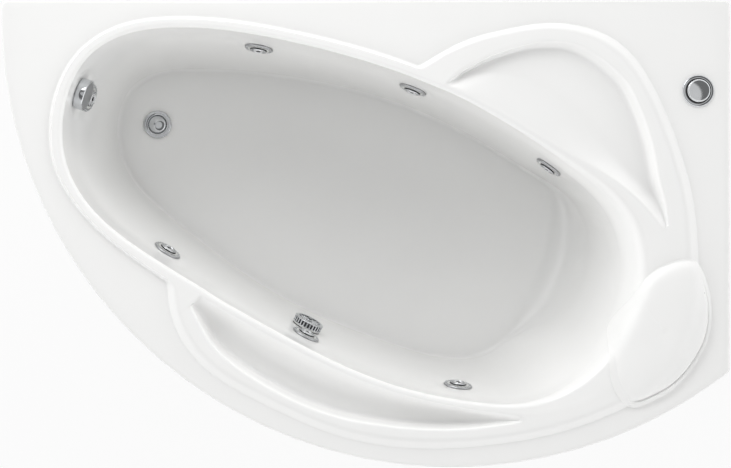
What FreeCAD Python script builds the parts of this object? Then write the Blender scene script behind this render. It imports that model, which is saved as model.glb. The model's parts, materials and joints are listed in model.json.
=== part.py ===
# Corner jetted bath: moulded acrylic shell with its fittings, pump, pipes, frame and front apron.
# Millimetres. +X runs along the straight back wall, +Y points to that wall, +Z is up.
# The origin is on the floor, under the middle of the rim.
import FreeCAD, Part
import math
import os
from FreeCAD import Vector

# ---- rim and deck ------------------------------------------------------------------------
rim_length = 1600.0             # along the back wall
rim_width = 1025.0              # back wall to the lowest point of the curved front
rim_height = 600.0              # top of the flat deck above the floor
left_return = 35.0              # short straight edge at the narrow end
right_return = 814.5            # straight edge at the broad end
front_low_x = 190.0             # where the curved front comes furthest forward
deck_thickness = 10.0           # acrylic with its glass-fibre backing
skirt_height = 40.0             # turned-down edge of the deck
skirt_thickness = 8.0
corner_fillet = 14.0            # upright corners of the deck
deck_edge_fillet = 6.0          # top edge of the deck
wall = 8.0                      # acrylic and backing round the basin
lip_rise = 12.0                 # raised lip and bands above the deck
lip_width = 12.0                # lip round the basin, inside the outline of its edge
band_round = 18.0               # rounded outer edge of the raised bands
edge_steps = 5                  # flats that make up a rounded edge
basin_depth = 430.0             # deck to basin floor
shoulder_depth = 100.0          # deck to where the rolled top of the wall ends
recess_depth = 12.0             # D-shaped arm recess below the deck
tray_depth = 40.0               # crescent tray below the deck

# ---- plan outlines (x, y), drawn on a rim of this size ------------------------------------------
drawn_length = 1600.0
drawn_width = 1025.0
basin_edge = [(-684, 228), (-669, 315), (-621, 397), (-538, 450), (-428, 468), (-143, 434), (165, 337),
              (472, 165), (604, 74), (669, -20), (678, -124), (636, -240), (538, -345), (395, -398),
              (252, -389), (77, -352), (-230, -214), (-472, -71), (-643, 85), (-676, 155)]
basin_shoulder = [(-660, 233), (-647, 312), (-604, 388), (-530, 433), (-428, 449), (-148, 415), (157, 317),
                  (446, 140), (530, 60), (562, -10), (566, -112), (530, -212), (455, -300), (350, -358),
                  (240, -360), (72, -327), (-218, -192), (-458, -50), (-624, 96), (-653, 165)]
basin_floor = [(-618, 261), (-606, 326), (-570, 377), (-509, 404), (-428, 410), (-164, 387), (159, 294),
               (425, 146), (474, 104), (484, 35), (463, -71), (416, -167), (360, -250), (295, -298),
               (214, -308), (63, -270), (-227, -142), (-461, 24), (-587, 148), (-612, 206)]
band_edge = [(118, 365), (164, 394), (230, 426), (296, 444), (383, 459), (471, 453), (558, 413),
             (624, 328), (681, 196), (714, 74), (725, -53), (723, -150), (694, -250), (640, -330),
             (560, -380), (427, -430), (296, -456), (120, -466), (-55, -439), (-230, -364),
             (-361, -280), (-412, -205), (-428, -100), (-380, 20), (-200, 150), (0, 290)]
recess_far = [(208, 353), (252, 377), (296, 397), (384, 419), (472, 408), (560, 344), (599, 276),
              (626, 197), (641, 118), (654, 70)]
recess_near = [(208, 320), (252, 298), (296, 277), (384, 231), (472, 177), (560, 113), (590, 89),
               (612, 69), (630, 49), (642, 36)]
recess_tips = [(184, 333), (662, 16)]
tray_far = [(-367, -184), (-336, -238), (-296, -277), (-230, -323), (-143, -369), (-55, -400), (33, -416),
            (121, -425), (208, -425), (296, -416)]
tray_near = [(-367, -140), (-336, -157), (-296, -179), (-230, -220), (-143, -267), (-55, -306), (33, -339),
             (121, -368), (208, -388), (296, -401)]
tray_tips = [(-383, -152), (348, -409)]
headrest_edge = [(722, -57), (748, -101), (759, -166), (748, -236), (713, -297), (665, -347), (621, -371),
                 (582, -381), (556, -363), (539, -332), (534, -262), (542, -206), (578, -149), (621, -88),
                 (669, -60)]

# ---- places of the fittings in the same plan -------------------------------------------------
jet_places = [(425, 158, 452), (107, 327, 455), (-250, 404, 452), (-600, 302, 440),
              (-454, -33, 448), (-140, -237, 468), (212, -356, 452)]
suction_place = (-138, -215, 385)
overflow_place = (-640, 316, 530)
waste_place = (-524, 276)
button_place = (730, 314)
pump_place = (650, 262)
rim_leg_places = [(-574, -56), (190, -455), (752, -190)]
wall_clip_places = [-700, -150, 400]
apron_clip_angles = [200.0, 232.0, 278.0, 299.0]
manifold_places = [(425, 158, 452), (270, 250, 452), (107, 327, 455), (-65, 375, 452), (-250, 404, 452),
                   (-430, 425, 452), (-570, 385, 448), (-600, 302, 440), (-610, 180, 445), (-560, 60, 448),
                   (-454, -33, 448), (-300, -150, 458), (-140, -237, 468), (30, -305, 460), (212, -356, 452)]
hose_route = [(60, -398, 225), (330, -402, 225), (520, -250, 215), (640, -60, 178), (650, 60, 150)]
headrest_stud_places = [(735, -130), (718, -250)]

# ---- jets -------------------------------------------------------------------------------------
pad_thickness = 12.0            # flat pads moulded where fittings pass through the wall
pad_margin = 5.0
pad_clear = 10.0                # depth cleared in front of each pad
pad_back = 50.0                 # depth cleared behind each pad
jet_ring_radius = 33.0
jet_hole_radius = 24.0
jet_bore_radius = 19.0
jet_length = 60.0               # flat pad to the back of the jet body
jet_wall = 4.0
jet_cap_rise = 4.5              # chrome ring above the flange
eyeball_radius = 14.0
eyeball_flat = 9.5
outlet_radius = 5.0
port_depth = 44.0               # ports behind the flat pad
water_port_reach = 31.0
air_port_reach = 29.0
water_port_radius = 10.0
air_port_radius = 6.0
gasket_thickness = 2.0
flange_thickness = 3.0
nut_thickness = 10.0
nut_margin = 7.0                # half width across flats beyond the hole
thread_gap = 0.2                # barrels inside their holes
running_gap = 0.05              # radial clearance of pieces that turn or slide in each other
face_gap = 0.3                  # clearance between faces that move past each other

# ---- suction ------------------------------------------------------------------------------------
suction_radius = 36.0
suction_hole_radius = 27.0
suction_bore_radius = 22.0
suction_body_length = 80.0
suction_cover_height = 18.0
suction_cover_wall = 3.0
suction_slots = 28
suction_slot_width = 3.2
suction_hub_radius = 7.0
suction_port_reach = 66.0
hose_radius = 29.0
spigot_radius = 26.0            # spigots on which the hose is pushed
hose_overlap = 18.0

# ---- overflow and waste ---------------------------------------------------------------------------
knob_radius = 36.0
knob_depth = 20.0
knob_wall = 2.5
knob_turn = 90.0                # degrees
overflow_plate_radius = 33.0
overflow_hole_radius = 24.0
overflow_body_radius = 27.0
overflow_body_depth = 34.0
overflow_port_length = 6.0
overflow_pipe_depth = 92.0      # vertical run of the overflow pipe behind its flat pad
overflow_pipe_radius = 16.0
spindle_radius = 5.0
spindle_hub_radius = 9.0
crank_radius = 12.0
cable_radius = 3.5
cable_offset = 21.0
cable_socket_length = 4.0
cable_depth = 72.0              # vertical run of the cable behind the flat pad
waste_flange_radius = 35.0
waste_hole_radius = 27.0
waste_bore_radius = 22.0
waste_neck_length = 36.0
waste_body_radius = 32.0
waste_body_depth = 82.0
plug_lift = 12.0
plug_gap = 0.5
plug_rise = 9.0                 # top of the closed plug above the basin floor
stem_radius = 3.0
drain_cutout_radius = 46.0
tail_radius = 20.0
tail_end_z = 45.0
pipe_wall = 3.0
trap_radius = 42.0
trap_floor_gap = 20.0
trap_top_z = 79.0
outlet_z = 58.0
waste_outlet_length = 60.0
outlet_collar = 2.0             # shoulder at the root of the trap's outlet
outlet_collar_length = 4.0      # from the side of the trap

# ---- air button ---------------------------------------------------------------------------------
button_flange_radius = 35.0
button_hole_radius = 28.0
button_radius = 25.0
button_travel = 5.0
button_rise = 12.0              # top of the button above the deck
button_body_depth = 46.0
button_skirt = 14.0
bellows_folds = 4
air_tube_radius = 3.0

# ---- pump and pipes -------------------------------------------------------------------------------
pump_axis_height = 150.0
volute_radius = 78.0
volute_length = 64.0
volute_wall = 8.0
impeller_radius = 55.0
impeller_blades = 6
pump_inlet_reach = 34.0
discharge_offset = 52.0
discharge_reach = 110.0
motor_radius = 60.0
motor_wall = 8.0
motor_length = 165.0
motor_fins = 28
fin_height = 7.0
fan_cover_length = 42.0
fan_cover_wall = 2.0
fan_blades = 8
shaft_radius = 7.0
rotor_core_radius = 36.0
terminal_box_size = (60.0, 70.0, 34.0)
nozzle_length = 9.0
seat_offset = 20.0              # terminal box behind the motor's front plate
gland_radius = 9.0
gland_bore_radius = 4.5
gland_length = 16.0
bracket_plate = 4.0
bracket_width = 130.0
bracket_length = 150.0
pad_height = 10.0
manifold_radius = 14.0
air_manifold_radius = 9.0
water_main_rise = 46.0          # water main above the jets
air_main_drop = 40.0            # air main below the jets
hose_drop = 95.0                # suction hose straight down from its port
air_wall = 2.0
end_reach = 30.0                # mains end past the last jet
main_bend = 30.0                # mains keep straight except this close to a corner of their route
silencer_offset = 40.0
silencer_radius = 14.0
silencer_length = 46.0

# ---- frame, feet and apron --------------------------------------------------------------------------
board_thickness = 18.0
board_inset = 15.0
rail_size = 30.0
rail_wall = 2.0
frame_angle = -27.0             # degrees; the frame follows the slant of the basin
frame_centre = (-60.0, 48.0)
rail_length = 940.0
rail_spacing = 230.0
cross_bar_offset = 300.0
foot_offset = 400.0
foot_radius = 25.0
foot_height = 14.0
rod_radius = 6.0
rod_reach = 14.0                # rod above the underside of its rail
foot_travel = 12.0
lock_nut_width = 19.0
lock_nut_height = 10.0
bush_length = 56.0
bush_radius = 12.0
bush_plate = 4.0
bush_plate_width = 36.0
bush_engagement = 22.0
apron_inset = 12.0              # apron face behind the edge of the deck
apron_thickness = 5.0
apron_flange = 18.0
apron_floor_gap = 8.0
apron_top_gap = 6.0
clip_size = 32.0
clip_thickness = 3.0
screw_radius = 2.5
screw_head_radius = 4.5
screw_head_height = 2.5
screw_depth = 7.0
stud_radius = 5.0
stud_length = 12.0
headrest_rise = 36.0            # top of the headrest above the deck
headrest_round = 22.0
headrest_cover = 20.0           # thickness of the headrest over the rolled edge of the basin

# ---- sizes that follow from those above ---------------------------------------------------------------
floor_z = rim_height - basin_depth
shoulder_z = rim_height - shoulder_depth
lip_z = rim_height + lip_rise
deck_under_z = rim_height - deck_thickness
board_top_z = floor_z - wall
rail_top_z = board_top_z - board_thickness
rail_bottom_z = rail_top_z - rail_size
up = Vector(0, 0, 1)


# ---- small builders ----------------------------------------------------------------------------------
def on_rim(points):
    return [(p[0] * rim_length / drawn_length, p[1] * rim_width / drawn_width) for p in points]


def place_on_rim(place):
    x, y = on_rim([place])[0]
    return Vector(x, y, place[2] if len(place) > 2 else 0)


def spline(points, z=0.0):
    curve = Part.BSplineCurve()
    curve.interpolate([Vector(x, y, z) for x, y in points], PeriodicFlag=True)
    return curve


def moved_out(points, distance):
    """The outline's points, each moved outward by the distance."""
    curve = spline(points)
    turn = sum(a[0] * b[1] - b[0] * a[1] for a, b in zip(points, points[1:] + points[:1]))
    side = 1.0 if turn > 0 else -1.0
    out = []
    for x, y in points:
        along = curve.tangent(curve.parameter(Vector(x, y, 0)))[0]
        out.append((x + side * along.y * distance, y - side * along.x * distance))
    return out


def between(first, second, share):
    return [(a[0] + (b[0] - a[0]) * share, a[1] + (b[1] - a[1]) * share) for a, b in zip(first, second)]


def loft(sections, ruled=False):
    """A solid through outlines given as (points, height)."""
    wires = [Part.Wire([spline(points, z).toShape()]) for points, z in sections]
    return Part.makeLoft(wires, True, ruled)


def rounded_plateau(points, z_low, z_foot, z_top, width):
    """An upright body whose top edge is a quarter ellipse, as wide as given."""
    sections = [(points, z_low)]
    for step in range(edge_steps + 1):
        turn = step * math.pi / 2 / edge_steps
        sections.append((moved_out(points, width * (math.cos(turn) - 1)), z_foot + (z_top - z_foot) * math.sin(turn)))
    return loft(sections, ruled=True)


def prism(points, z_low, z_high):
    face = Part.Face(Part.Wire([spline(points, z_low).toShape()]))
    return face.extrude(Vector(0, 0, z_high - z_low))


def cylinder(radius, z_low, z_high, x=0.0, y=0.0):
    return Part.makeCylinder(radius, z_high - z_low, Vector(x, y, z_low))


def ring(outer, inner, z_low, z_high, x=0.0, y=0.0):
    return cylinder(outer, z_low, z_high, x, y).cut(cylinder(inner, z_low - 1, z_high + 1, x, y))


def turned(profile):
    """A turned solid from (radius, height) corners."""
    corners = [Vector(r, 0, h) for r, h in profile]
    face = Part.Face(Part.makePolygon(corners + corners[:1]))
    return face.revolve(Vector(0, 0, 0), up, 360)


def box(low, high):
    size = [b - a for a, b in zip(low, high)]
    return Part.makeBox(size[0], size[1], size[2], Vector(*low))


def hexagon(across, z_low, z_high, bore):
    radius = across / math.sqrt(3)
    corners = [Vector(radius * math.cos(k * math.pi / 3), radius * math.sin(k * math.pi / 3), z_low)
               for k in range(6)]
    nut = Part.Face(Part.makePolygon(corners + corners[:1])).extrude(Vector(0, 0, z_high - z_low))
    return nut.cut(cylinder(bore, z_low - 1, z_high + 1))


def fused(shapes):
    return shapes[0].multiFuse(shapes[1:]).removeSplitter() if len(shapes) > 1 else shapes[0]


def at(shape, frame):
    result = shape.copy()
    result.Placement = frame.multiply(result.Placement)
    return result


def path_wire(points, most=1000.0):
    """Straight runs joined by tangent arcs, each as large as its two runs allow."""
    edges = []
    start = points[0]
    for before, corner, after in zip(points, points[1:], points[2:]):
        inward = (corner - before).normalize()
        onward = (after - corner).normalize()
        turn = inward.getAngle(onward)
        if turn < 0.01:
            continue
        shorter = min((corner - before).Length, (after - corner).Length)
        reach = min(0.45 * shorter, most)
        radius = reach / math.tan(turn / 2)
        arc_start = corner - inward * reach
        arc_end = corner + onward * reach
        to_middle = (onward - inward).normalize()
        middle = corner + to_middle * (radius / math.cos(turn / 2) - radius)
        edges.append(Part.LineSegment(start, arc_start).toShape())
        edges.append(Part.Arc(arc_start, middle, arc_end).toShape())
        start = arc_end
    edges.append(Part.LineSegment(start, points[-1]).toShape())
    return Part.Wire(edges)


def pipe(points, radius, bore=0.0, most=1000.0):
    """A round pipe along a route; the bore goes right through."""
    wire = path_wire(points, most)
    along = (points[1] - points[0]).normalize()

    def swept(size):
        circle = Part.Wire([Part.makeCircle(size, points[0], along)])
        return wire.makePipeShell([circle], True, False)

    outer = swept(radius)
    return outer.cut(swept(bore)) if bore else outer


def save(name, shape):
    solids = shape.Solids
    kept = solids[0] if len(solids) == 1 else Part.makeCompound(solids)
    kept.exportStep("parts/" + name + ".step")
    print(name, len(solids), round(kept.Volume / 1000), "cm3", kept.isValid())


# ---- the basin's form -----------------------------------------------------------------------------------
def basin_outlines(offset):
    edge, shoulder, floor = [on_rim(points) for points in (basin_edge, basin_shoulder, basin_floor)]
    return moved_out(edge, offset - lip_width), moved_out(shoulder, offset), moved_out(floor, offset)


def basin_section(z, offset=0.0, top=None, bottom=None):
    """Outline of the basin at a height: rolled edge, leaning wall, rounded foot."""
    edge, shoulder, floor = basin_outlines(offset)
    top = lip_z if top is None else top
    bottom = floor_z if bottom is None else bottom
    if z >= shoulder_z:
        down = (top - z) / (top - shoulder_z)
        return between(edge, shoulder, math.sqrt(max(0.0, 1 - (1 - down) ** 2)))
    down = (shoulder_z - z) / (shoulder_z - bottom)
    straight = 0.86
    if down <= straight:
        return between(shoulder, floor, 0.80 * down / straight)
    rounded = (down - straight) / (1 - straight)
    return between(shoulder, floor, 0.80 + 0.20 * (1 - math.sqrt(max(0.0, 1 - rounded ** 2))))


def basin_solid(offset, top, bottom):
    roll = top - shoulder_z
    wall_height = shoulder_z - bottom
    heights = [top - roll * share for share in (0.0, 0.05, 0.15, 0.35, 0.65, 1.0)]
    heights += [shoulder_z - wall_height * share for share in (0.35, 0.7, 0.86, 0.93, 0.98, 1.0)]
    return loft([(basin_section(z, offset, top, bottom), z) for z in heights])


def wall_frame(place):
    """Frame on the basin's inner wall nearest to a place: its z axis points into the basin."""
    spot = place_on_rim(place)
    step = 4.0
    curve = spline(basin_section(spot.z), spot.z)
    low = spline(basin_section(spot.z - step), spot.z - step)
    parameter = curve.parameter(spot)
    point = curve.value(parameter)
    along = curve.tangent(parameter)[0]
    below = low.value(low.parameter(point - Vector(0, 0, step)))
    inward = along.cross((point - below).normalize()).normalize()
    centre = place_on_rim((-60, 50, spot.z))
    if inward.dot(centre - point) < 0:
        inward = inward * -1
    side = up.cross(inward).normalize()
    rise = inward.cross(side).normalize()
    matrix = FreeCAD.Matrix(side.x, rise.x, inward.x, point.x, side.y, rise.y, inward.y, point.y,
                            side.z, rise.z, inward.z, point.z, 0, 0, 0, 1)
    return FreeCAD.Placement(matrix)


def deck_outline(inset, z):
    """Two straight wall edges, two short sides and one arc along the front."""
    left = -rim_length / 2
    right = rim_length / 2
    back = rim_width / 2
    ends = [Vector(left, back - left_return, z), Vector(front_low_x * rim_length / drawn_length, -back, z),
            Vector(right, back - right_return, z)]
    circle = Part.Arc(*ends).toShape().Curve
    centre = circle.Center
    radius = circle.Radius - inset

    def on_arc(x):
        return centre.y - math.sqrt(max(0.0, radius ** 2 - (x - centre.x) ** 2))

    start = Vector(left + inset, on_arc(left + inset), z)
    end = Vector(right - inset, on_arc(right - inset), z)
    low = Vector(centre.x, centre.y - radius, z)
    corners = [end, Vector(right - inset, back - inset, z), Vector(left + inset, back - inset, z), start]
    edges = [Part.Arc(start, low, end).toShape()]
    edges += [Part.LineSegment(a, b).toShape() for a, b in zip(corners, corners[1:])]
    return Part.Wire(edges)


def deck_prism(inset, z_low, z_high, corner_radius=0.0, top_radius=0.0):
    body = Part.Face(deck_outline(inset, z_low)).extrude(Vector(0, 0, z_high - z_low))
    if corner_radius:
        upright = [e for e in body.Edges if abs(e.tangentAt(e.FirstParameter).z) > 0.99]
        body = body.makeFillet(corner_radius, upright)
    if top_radius:
        top = [e for e in body.Edges if e.BoundBox.ZMin > z_high - 0.01]
        body = body.makeFillet(top_radius, top)
    return body


def trough(far, near, tips, share_far, share_near, tip_shift):
    """Outline of a hollow between two lists of facing points, closed by a tip at each end."""
    far_side = between(on_rim(far), on_rim(near), share_far)
    near_side = between(on_rim(near), on_rim(far), share_near)
    start, end = on_rim(tips)
    first = ((far_side[0][0] + near_side[0][0]) / 2, (far_side[0][1] + near_side[0][1]) / 2)
    last = ((far_side[-1][0] + near_side[-1][0]) / 2, (far_side[-1][1] + near_side[-1][1]) / 2)
    start = between([start], [first], tip_shift)[0]
    end = between([end], [last], tip_shift)[0]
    return [start] + far_side + [end] + near_side[::-1]


def fitting_holes():
    """Frame, pad radius and hole radius of each fitting in the basin's wall."""
    found = [(frame, jet_ring_radius + pad_margin, jet_hole_radius) for frame in jet_frames]
    found.append((suction_frame, suction_radius + pad_margin, suction_hole_radius))
    found.append((overflow_frame, knob_radius + pad_margin, overflow_hole_radius))
    return found


def raised_deck():
    """Deck with its turned-down edge, the raised bands and the floors of the two recesses."""
    deck = deck_prism(0, rim_height - skirt_height, rim_height, corner_fillet, deck_edge_fillet)
    inner_radius = corner_fillet - skirt_thickness
    deck = deck.cut(deck_prism(skirt_thickness, rim_height - skirt_height - 1, deck_under_z, inner_radius))
    band = rounded_plateau(on_rim(band_edge), deck_under_z, rim_height, lip_z - step_down, band_round)
    tray_pocket = prism(moved_out(trough(tray_far, tray_near, tray_tips, 0, 0, 0), wall),
                        tray_floor_z - wall, deck_under_z + 1)
    recess_pocket = prism(moved_out(trough(recess_far, recess_near, recess_tips, 0, 0, 0), wall),
                          recess_floor_z - wall, deck_under_z + 1)
    return deck.fuse(band).fuse(tray_pocket).fuse(recess_pocket)


def tray_hollow():
    return loft([(trough(tray_far, tray_near, tray_tips, -0.04, 0.0, -0.1), lip_z + 1),
                 (trough(tray_far, tray_near, tray_tips, 0.03, 0.02, 0.15), rim_height),
                 (trough(tray_far, tray_near, tray_tips, 0.12, 0.08, 0.4), tray_floor_z + 12),
                 (trough(tray_far, tray_near, tray_tips, 0.22, 0.16, 0.7), tray_floor_z)])


def recess_hollow():
    return loft([(trough(recess_far, recess_near, recess_tips, -0.02, 0.0, -0.1), lip_z + 1),
                 (trough(recess_far, recess_near, recess_tips, 0.02, 0.02, 0.1), lip_z - 7),
                 (trough(recess_far, recess_near, recess_tips, 0.06, 0.05, 0.3), recess_floor_z + 4),
                 (trough(recess_far, recess_near, recess_tips, 0.12, 0.10, 0.5), recess_floor_z)])


def tub_shell():
    lip = rounded_plateau(on_rim(basin_edge), tray_floor_z - wall, rim_height, lip_z - step_down, lip_width)
    body = raised_deck().fuse(lip).fuse(basin_solid(wall, lip_z - wall, floor_z - wall))
    body = body.cut(basin_solid(0, lip_z, floor_z)).cut(tray_hollow()).cut(recess_hollow())
    for frame, pad_radius, hole_radius in fitting_holes():
        body = body.fuse(at(cylinder(pad_radius, -pad_thickness, 0), frame))
        body = body.cut(at(cylinder(pad_radius, 0, pad_clear), frame))
        body = body.cut(at(cylinder(hole_radius, -pad_thickness - 1, 1), frame))
        body = body.cut(at(cylinder(pad_radius, -pad_thickness - pad_back, -pad_thickness), frame))
    body = body.cut(cylinder(waste_hole_radius, floor_z - wall - 1, floor_z + 1, waste.x, waste.y))
    body = body.cut(cylinder(button_hole_radius, deck_under_z - 1, rim_height + 1, button.x, button.y))
    for spot in headrest_studs_at:
        body = body.cut(cylinder(stud_radius, rim_height - stud_length / 2, lip_z + 1, spot.x, spot.y))
    for frame in clip_frames:
        body = body.cut(at(cylinder(screw_radius, 0, screw_depth), frame))
    return body


# ---- jets -------------------------------------------------------------------------------------------------
def jet_body():
    barrel = jet_hole_radius - thread_gap
    flange_top = gasket_thickness + flange_thickness
    back = -jet_length
    body = turned([(0, back), (barrel, back), (barrel, gasket_thickness), (flange_radius, gasket_thickness),
                   (flange_radius, flange_top), (jet_bore_radius, flange_top),
                   (jet_bore_radius, back + jet_wall), (0, back + jet_wall)])
    for direction, radius, thickness, reach in ((1, water_port_radius, pipe_wall, water_port_reach),
                                                (-1, air_port_radius, air_wall, air_port_reach)):
        aim = Vector(0, direction, 0)
        start = Vector(0, direction * (jet_bore_radius + 1), -port_depth)
        body = body.fuse(Part.makeCylinder(radius, reach - jet_bore_radius - 1, start, aim))
        bore = Part.makeCylinder(radius - thickness, reach, Vector(0, 0, -port_depth), aim)
        body = body.cut(bore)
    return body


def jet_ring():
    base = gasket_thickness + flange_thickness + face_gap
    top = base + jet_cap_rise
    sleeve = jet_bore_radius - running_gap
    rim = flange_radius + face_gap
    inner = eyeball_radius * 0.5
    body = turned([(inner, -eyeball_flat + 1), (sleeve, -eyeball_flat + 1), (sleeve, base), (rim, base), (rim, 0.6),
                   (jet_ring_radius, 0.6), (jet_ring_radius, base + 1), (jet_ring_radius - 2.5, top - 0.8),
                   (jet_ring_radius - 6, top), (jet_ring_radius - 10, top - 0.8), (sleeve, top - 2.2),
                   (inner + 7, top - 1.2), (inner, top - 1.2)])
    return body.cut(Part.makeSphere(eyeball_radius + running_gap))


def jet_nozzle():
    ball = Part.makeSphere(eyeball_radius)
    ball = ball.common(cylinder(eyeball_radius + 1, -eyeball_flat, eyeball_flat))
    return ball.cut(cylinder(outlet_radius, -eyeball_flat - 1, eyeball_flat + 1))


def fitting_nut(hole_radius):
    return hexagon(2 * (hole_radius + nut_margin), -pad_thickness - nut_thickness, -pad_thickness,
                   hole_radius - thread_gap)


# ---- suction -----------------------------------------------------------------------------------------------
def suction_body():
    barrel = suction_hole_radius - thread_gap
    flange_top = gasket_thickness + flange_thickness
    back = -suction_body_length
    body = turned([(0, back), (barrel, back), (barrel, gasket_thickness), (suction_radius - 2, gasket_thickness),
                   (suction_radius - 2, flange_top), (suction_bore_radius, flange_top),
                   (suction_bore_radius, back + jet_wall), (0, back + jet_wall)])
    middle = suction_port_depth
    down = Vector(0, -1, 0)
    reach = suction_port_reach
    spout = Part.makeCylinder(spigot_radius, reach - suction_bore_radius - 1,
                              Vector(0, -suction_bore_radius - 1, middle), down)
    body = body.fuse(spout.cut(cylinder(suction_bore_radius, back, 0)))
    body = body.cut(Part.makeCylinder(suction_bore_radius - pipe_wall, reach, Vector(0, 0, middle), down))
    body = body.fuse(box((-suction_bore_radius - 0.5, -2, 0), (suction_bore_radius + 0.5, 2, flange_top)))
    hub = cylinder(suction_hub_radius, 0, flange_top + 1)
    return body.fuse(hub).cut(cylinder(screw_radius, -1, flange_top + 2))


def suction_cover():
    base = gasket_thickness + flange_thickness
    top = base + suction_cover_height
    inner = suction_radius - suction_cover_wall
    cup = turned([(inner, base), (suction_radius, base), (suction_radius, top - 3), (inner, top),
                  (0, top), (0, top - suction_cover_wall), (inner, top - suction_cover_wall)])
    cup = cup.fuse(cylinder(suction_hub_radius, base + 1, top - 1))
    cuts = []
    for k in range(suction_slots):
        turn = FreeCAD.Placement(Vector(0, 0, 0), FreeCAD.Rotation(up, k * 360.0 / suction_slots))
        slot = box((inner - 2, -suction_slot_width / 2, base + 3), (suction_radius + 1, suction_slot_width / 2, top - 4))
        cuts.append(at(slot, turn))
        if k % 2 == 0:
            slit = box((suction_hub_radius + 5, -suction_slot_width / 2, top - suction_cover_wall - 1),
                       (inner - 5, suction_slot_width / 2, top + 1))
            cuts.append(at(slit, turn))
    return cup.cut(Part.makeCompound(cuts)).cut(cylinder(screw_radius, base, top + 1))


def suction_screw():
    base = gasket_thickness + flange_thickness
    top = base + suction_cover_height
    head = turned([(0, top), (suction_hub_radius - 1, top), (suction_hub_radius - 1, top + 1.5),
                   (suction_hub_radius - 3, top + 3), (0, top + 3)])
    slot = box((-suction_hub_radius, -0.8, top + 1.8), (suction_hub_radius, 0.8, top + 4))
    return head.fuse(cylinder(screw_radius, 0, top)).cut(slot)


# ---- overflow ------------------------------------------------------------------------------------------------
def overflow_trim():
    plate = turned([(0, 0), (overflow_plate_radius, 0), (overflow_plate_radius, 2), (overflow_plate_radius - 1, 3),
                    (0, 3)])
    hub = cylinder(spindle_hub_radius, -pad_thickness - 8, 3)
    body = plate.fuse(hub).cut(cylinder(spindle_radius + running_gap, -pad_thickness - 9, 4))
    holes = [cylinder(4, -1, 4, 17 * math.cos(k * math.pi / 4), 17 * math.sin(k * math.pi / 4)) for k in range(8)]
    return body.cut(Part.makeCompound(holes))


def overflow_knob():
    low = 3 + face_gap
    top = low + knob_depth
    inner = knob_radius - knob_wall
    crank = -pad_thickness - overflow_body_depth + 12
    return turned([(0, crank - 4), (crank_radius, crank - 4), (crank_radius, crank), (spindle_radius, crank),
                   (spindle_radius, top - knob_wall), (inner, top - knob_wall), (inner, low), (knob_radius, low),
                   (knob_radius, top - 1.5), (knob_radius - 1.5, top), (0, top)])


def overflow_body():
    front = -pad_thickness - gasket_thickness
    back = front - overflow_body_depth
    inner = overflow_body_radius - pipe_wall
    body = turned([(inner, front), (knob_radius - 1, front), (knob_radius - 1, front - 3),
                   (overflow_body_radius, front - 3), (overflow_body_radius, back), (0, back),
                   (0, back + pipe_wall), (inner, back + pipe_wall)])
    outlet = cylinder(overflow_pipe_radius, back - overflow_port_length, back + 1)
    socket = cylinder(cable_radius + 2, back - cable_socket_length, back + 1, cable_offset)
    body = body.fuse(outlet).fuse(socket)
    body = body.cut(cylinder(overflow_pipe_radius - pipe_wall, back - overflow_port_length - 1, back + pipe_wall + 1))
    return body.cut(cylinder(cable_radius - 1, back - cable_socket_length - 1, back + pipe_wall + 1, cable_offset))


# ---- waste and trap ---------------------------------------------------------------------------------------------
def waste_flange():
    top = floor_z + gasket_thickness
    barrel = waste_hole_radius - thread_gap
    body = turned([(barrel, floor_z - waste_neck_length), (barrel, top), (waste_flange_radius, top),
                   (waste_flange_radius, top + 1.5), (waste_flange_radius - 2, top + 3), (waste_bore_radius + 3, top + 2.2),
                   (waste_bore_radius, top + 0.5), (waste_bore_radius, floor_z - waste_neck_length)])
    body.translate(waste)
    return body


def waste_plug():
    head = waste_bore_radius - plug_gap
    top = floor_z + plug_rise
    stem_end = floor_z - waste_neck_length - 16
    dome = [(0, top)]
    for step in range(1, 6):
        turn = step * math.pi / 10
        dome.append((head * math.sin(turn), floor_z + 2.5 + (plug_rise - 2.5) * math.cos(turn)))
    body = turned(dome + [(head, floor_z - 2), (stem_radius, floor_z - 5), (stem_radius, stem_end), (0, stem_end)])
    body.translate(waste)
    return body


def waste_body():
    top = board_top_z - gasket_thickness
    low = floor_z - waste_body_depth
    inner = waste_body_radius - pipe_wall
    guide_top = floor_z - waste_neck_length - 2
    body = turned([(waste_hole_radius, top), (waste_flange_radius, top), (waste_flange_radius, top - 4),
                   (waste_body_radius, top - 4), (waste_body_radius, low), (tail_radius, low), (tail_radius, tail_end_z),
                   (tail_radius - pipe_wall, tail_end_z), (tail_radius - pipe_wall, low + pipe_wall),
                   (inner, low + pipe_wall), (inner, guide_top), (waste_hole_radius, guide_top)])
    guide = box((-inner - 1, -2.5, guide_top - 8), (inner + 1, 2.5, guide_top - 2)).fuse(
        cylinder(stem_radius + 3, guide_top - 8, guide_top - 2))
    body = body.fuse(guide).cut(cylinder(stem_radius + running_gap, guide_top - 9, guide_top))
    body.translate(waste)
    spout = Part.makeCylinder(overflow_pipe_radius, waste_port_reach - inner,
                              waste_port_centre + waste_port_aim * inner, waste_port_aim)
    hollow = cylinder(inner, low + pipe_wall, guide_top, waste.x, waste.y)
    body = body.fuse(spout.cut(hollow))
    body = body.cut(Part.makeCylinder(overflow_pipe_radius - pipe_wall, waste_port_reach - inner / 2,
                                      waste_port_centre + waste_port_aim * (inner / 2), waste_port_aim))
    socket = Part.makeCylinder(cable_radius + 2, waste_port_reach - waste_body_radius - 1,
                               cable_port_centre + cable_port_aim * (waste_body_radius - 1), cable_port_aim)
    return body.fuse(socket.cut(hollow))


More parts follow.
